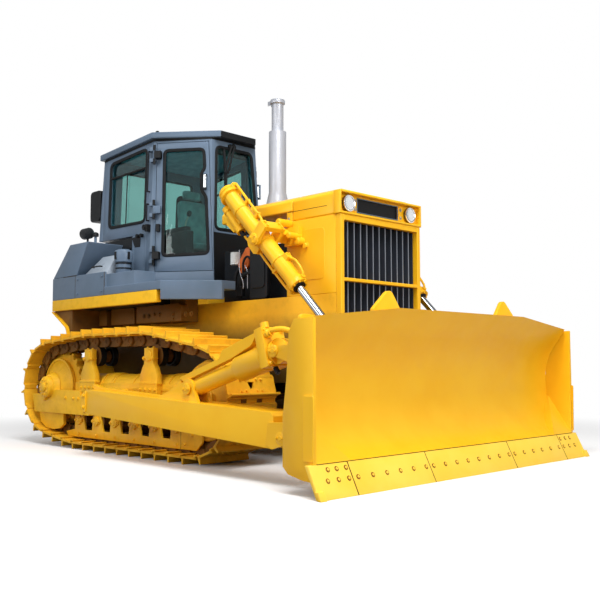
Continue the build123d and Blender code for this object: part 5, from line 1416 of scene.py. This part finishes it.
def bladeProfile(steps):
    # x on the plate's face at each height; arcs as circles that touch the straight at the deepest line.
    # The face stands off the plate by 2 + 18 exp(-((z - 1082) / 150)^2), over the feet of the lifting lugs.
    c = bladeCurve
    z = np.linspace(c["foot"], c["top"], steps)
    low = np.clip(c["lowEnd"] - z, 0, None)
    reach, rise = c["topX"] - c["deep"] - c["highRadius"], c["top"] - c["highStart"]
    end = math.pi - math.atan2(rise, reach) - math.acos(c["highRadius"] / math.hypot(rise, reach))
    high = np.clip(z - c["highStart"], 0, c["highRadius"] * math.sin(end))
    x = c["deep"] + c["lowRadius"] - np.sqrt(c["lowRadius"] ** 2 - low ** 2)
    x += c["highRadius"] - np.sqrt(c["highRadius"] ** 2 - high ** 2)
    beyond = np.clip(z - c["highStart"] - c["highRadius"] * math.sin(end), 0, None)
    x += beyond * math.tan(end)
    swell = np.exp(-((z - c["lugFoot"]) / c["lugSpread"]) ** 2)
    return x + c["cover"] + c["lugCover"] * swell, z


def makeBladeFace():
    # The profile carried across; beyond the knees the top edge drops straight to the corners.
    c = bladeCurve
    x, z = bladeProfile(120)
    y = np.linspace(-c["half"], c["half"], 61)
    share = np.clip(np.abs(y) - c["knee"], 0, None) / (c["corner"] - c["knee"])
    top = c["top"] - share * (c["top"] - c["cornerHeight"])
    height = np.minimum(z[:, None], top[None] - 0.5)
    depth = np.interp(height, z, x)
    rings = np.stack([depth, np.broadcast_to(y, depth.shape), height], axis=-1)
    addPiece("bladeFace", [sheet(rings)], yellowEnamel, body="blade_assembly", open=True)


makeEdgeBolts(bladeEdge)
makeBladeFace()
makeBladePlates(bladeBack)
makeTiltCylinder(tilt)
makeArmDetails(tilt)
print("blade finished")


# Platform: panel seams, bolts, the breather, the tank's fittings and the plates that close it below and behind, dark
# as painted shade.

platform = {
    "face": 1180, "hullFace": 800, "seams": (470, 1066), "topSeam": (206, 492), "foot": 1614, "top": 1865,
    "hullBolts": ((1441, 1413), (1532, 1409), (1765, 1399), (1774, 1347), (1250, 1400), (1340, 1400),
                  (1980, 1392), (2070, 1392)),
    "deckBolts": ((520, 1020), (1660, 1820)), "underside": (20, 1600, -1100, 1100, 1500, 1608),
    "rearGuard": [(-60, 1484), (108, 1388), (262, 1296), (300, 1200), (316, 1206), (278, 1310), (118, 1404),
                  (-44, 1494)],
    "rearHull": [(-50, 1500), (350, 1500), (350, 1230), (306, 1238), (262, 1312), (108, 1402)],
    "breather": (575, 1000), "airCleaner": (1165, 1010), "filler": (440, 860, 2219),
    "handle": ((800, 1141), (800, 1176), (960, 1176), (960, 1141)), "handleHeight": 1930,
}
straightUp = (0, 0, 1)


def makePlatformDetails(p):
    # Gaps between the skirt's panels, bolts in the hull and the skirt, and the plates under and behind the deck; the
    # hull's bolts and these plates are dark as painted shade.
    face = p["face"]
    seams = [(x - 2.5, x + 2.5, p["foot"] + 4, p["top"] - 4) for x in p["seams"]]
    seams.append((*p["topSeam"], p["top"] - 3, p["top"] + 2))
    gaps = [box(x0, x1, face - 3, face + 0.8, z0, z1) for x0, x1, z0, z1 in seams]
    addPiece("panelSeams", bothSides(gaps), shadowGap)
    # the hull's bolts in the chain's dark brown: painted shade, like the shaded brackets round them
    fixings = bolts([(x, p["hullFace"], z) for x, z in p["hullBolts"]], toSide, radius=17, height=15)
    addPiece("hullBolts", bothSides([fixings]), chainEnamel)
    across, up = p["deckBolts"]
    deck = bolts([(x, face, z) for x in across for z in up], toSide, radius=11, height=8)
    addPiece("fenderBolts", bothSides([deck]), slateEnamel)
    guard = prism(softOutline(p["rearGuard"], 22), "y", 900, 1176)
    addPiece("rearGuard", bothSides([guard]), yellowEnamel, bevel=3)
    # a near-black plate under the deck: painted shade, where the deck's underside lies in shadow
    addPiece("deckShadePlate", [box(*p["underside"])], darkPlastic)
    # dark brown plates inside the rear guard: painted shade
    addPiece("rearHullShadePlates", bothSides([prism(p["rearHull"], "y", 580, 1140)]), chainEnamel)


def makeBreather(p):
    # Stand pipe with a domed cap, clamped beside the cab.
    x, y = p["breather"]
    stand = pipe([(x, y, 2050), (x, y, 2318)], 15, 10, 20)
    cap = [turned((x, y, 2306), straightUp, [(0, 34), (26, 36), (40, 30), (48, 16), (51, 4)], 24),
           turned((x, y, 2110), straightUp, [(0, 22), (18, 22)], 20)]
    addPiece("breatherPipe", bothSides([stand]), slateEnamel)
    addPiece("breatherCap", bothSides(cap), blackEnamel, bevel=2)


def makeAirCleaner(p):
    # Rounded bowl on the air cleaner, its two bands and three clips.
    x, y = p["airCleaner"]
    bowl = [(0, 80), (6, 92), (60, 98), (112, 98), (128, 88), (140, 60)]
    addPiece("airCleanerCap", bothSides([turned((x, y, 1960), straightUp, bowl, 40)]), slateEnamel)
    bands = [hoop((x, y, z), straightUp, 77, 84, 16, 40) for z in (1890, 1942)]
    clips = [box(x0, x1, y0, y1, 1992, 2070) for x0, x1, y0, y1 in (
        (x - 14, x + 14, y + 94, y + 106), (x + 89, x + 101, y - 14, y + 14), (x - 101, x - 89, y - 14, y + 14))]
    addPiece("airCleanerClips", bothSides(bands + clips), blackEnamel, bevel=3)


def makeTankFittings(p):
    # Filler cap and the pull on the lockers' lids.
    cap = turned(p["filler"], straightUp, [(0, 62), (18, 62), (26, 54), (34, 20)], 32)
    addPiece("fillerCap", bothSides([cap]), blackEnamel, bevel=3)
    handle = pipe([(x, y, p["handleHeight"]) for x, y in p["handle"]], 8, 30, 12)
    addPiece("lockerHandles", bothSides([handle]), blackEnamel)


for makeDetails in (makePlatformDetails, makeBreather, makeAirCleaner, makeTankFittings):
    makeDetails(platform)
print("platform finished")


# Floor, light and camera.

studio = {"floorHalf": 60.0, "floorBounce": "#666666", "skyStrength": 0.5, "shadowReach": 4.2, "whiteFrom": 7.5,
          "aim": (0.3, 0, 1.2)}


def raySeen(tree, names):
    # 1 where any of the named kinds of ray looks at the surface.
    ray = addNode(tree, "ShaderNodeLightPath")
    seen = ray.outputs[names[0]]
    for name in names[1:]:
        seen = addNode(tree, "ShaderNodeMath", {"operation": "MAXIMUM"}, {0: seen, 1: ray.outputs[name]}).outputs[0]
    return seen


def paleFloor():
    # White sweep that keeps the shadow; what light it sends back up is held down, as on a grey yard.
    material = bpy.data.materials.new("paleFloor")
    material.use_nodes = True
    tree = material.node_tree
    shader = tree.nodes["Principled BSDF"]
    shader.inputs["Roughness"].default_value = 0.9
    seen = raySeen(tree, ("Is Camera Ray", "Is Glossy Ray", "Is Transmission Ray"))
    colour = addNode(tree, "ShaderNodeMix", {"data_type": "RGBA"}, {
        0: seen, 6: linear(studio["floorBounce"]), 7: (1.0, 1.0, 1.0, 1.0)})
    tree.links.new(colour.outputs[2], shader.inputs["Base Color"])
    # beyond the object's shadow the floor runs out into the same white as the background
    where = addNode(tree, "ShaderNodeTexCoord").outputs["Object"]
    away = addNode(tree, "ShaderNodeVectorMath", {"operation": "LENGTH"}, {0: where}).outputs["Value"]
    share = addNode(tree, "ShaderNodeMapRange", {"interpolation_type": "SMOOTHSTEP"}, {
        "Value": away, "From Min": studio["shadowReach"], "From Max": studio["whiteFrom"]})
    share = addNode(tree, "ShaderNodeMath", {"operation": "MULTIPLY"}, {0: share.outputs["Result"], 1: seen})
    plain = addNode(tree, "ShaderNodeEmission", inputs={"Strength": 1.0})
    both = addNode(tree, "ShaderNodeMixShader", inputs={
        0: share.outputs[0], 1: shader.outputs[0], 2: plain.outputs[0]})
    tree.links.new(both.outputs[0], tree.nodes["Material Output"].inputs["Surface"])
    return material


half = studio["floorHalf"]
floorMesh = bpy.data.meshes.new("floor")
floorMesh.from_pydata([(-half, -half, 0), (half, -half, 0), (half, half, 0), (-half, half, 0)], [], [(0, 1, 2, 3)])
floorMesh.materials.append(paleFloor())
floor = bpy.data.objects.new("floor", floorMesh)
bpy.context.scene.collection.objects.link(floor)

world = bpy.data.worlds.new("studio")
bpy.context.scene.world = world
world.use_nodes = True
worldTree = world.node_tree
strength = addNode(worldTree, "ShaderNodeMix", {"data_type": "FLOAT"}, {
    0: raySeen(worldTree, ("Is Camera Ray", "Is Transmission Ray")), 2: studio["skyStrength"], 3: 1.0})
background = worldTree.nodes["Background"]
background.inputs["Color"].default_value = (1, 1, 1, 1)
worldTree.links.new(strength.outputs[0], background.inputs["Strength"])

lamps = {
    # name: (place in metres, size, watts)
    "skyLamp": ((4.0, -3.5, 9.0), 4.0, 640),
    "frontLamp": ((10.0, -2.0, 4.0), 4.0, 430),
    "sideLamp": ((-1.0, -10.0, 5.0), 5.0, 290),
}
for lampName, (place, size, watts) in lamps.items():
    lampData = bpy.data.lights.new(lampName, "AREA")
    lampData.size = size
    lampData.energy = watts
    lamp = bpy.data.objects.new(lampName, lampData)
    lamp.location = place
    aim = np.array(studio["aim"]) - np.array(place)
    tip = math.pi - math.acos(aim[2] / np.linalg.norm(aim))
    lamp.rotation_euler = (tip, 0, math.atan2(aim[1], aim[0]) - math.pi / 2)
    bpy.context.scene.collection.objects.link(lamp)

cameraView = {"place": (6.469, -5.762, 0.899), "heading": 135.39, "rise": 4.39, "roll": 0.12, "lens": 49.48,
              "sensor": 36, "farthest": 200}
cameraData = bpy.data.cameras.new("camera")
cameraData.lens = cameraView["lens"]
cameraData.sensor_width = cameraView["sensor"]
cameraData.clip_end = cameraView["farthest"]
camera = bpy.data.objects.new("camera", cameraData)
camera.location = cameraView["place"]
camera.rotation_mode = "XYZ"
camera.rotation_euler = (math.radians(90 + cameraView["rise"]), math.radians(cameraView["roll"]),
                         math.radians(cameraView["heading"] - 90))
bpy.context.scene.collection.objects.link(camera)
bpy.context.scene.camera = camera
bpy.context.scene.view_settings.view_transform = "Standard"

print("scene made")
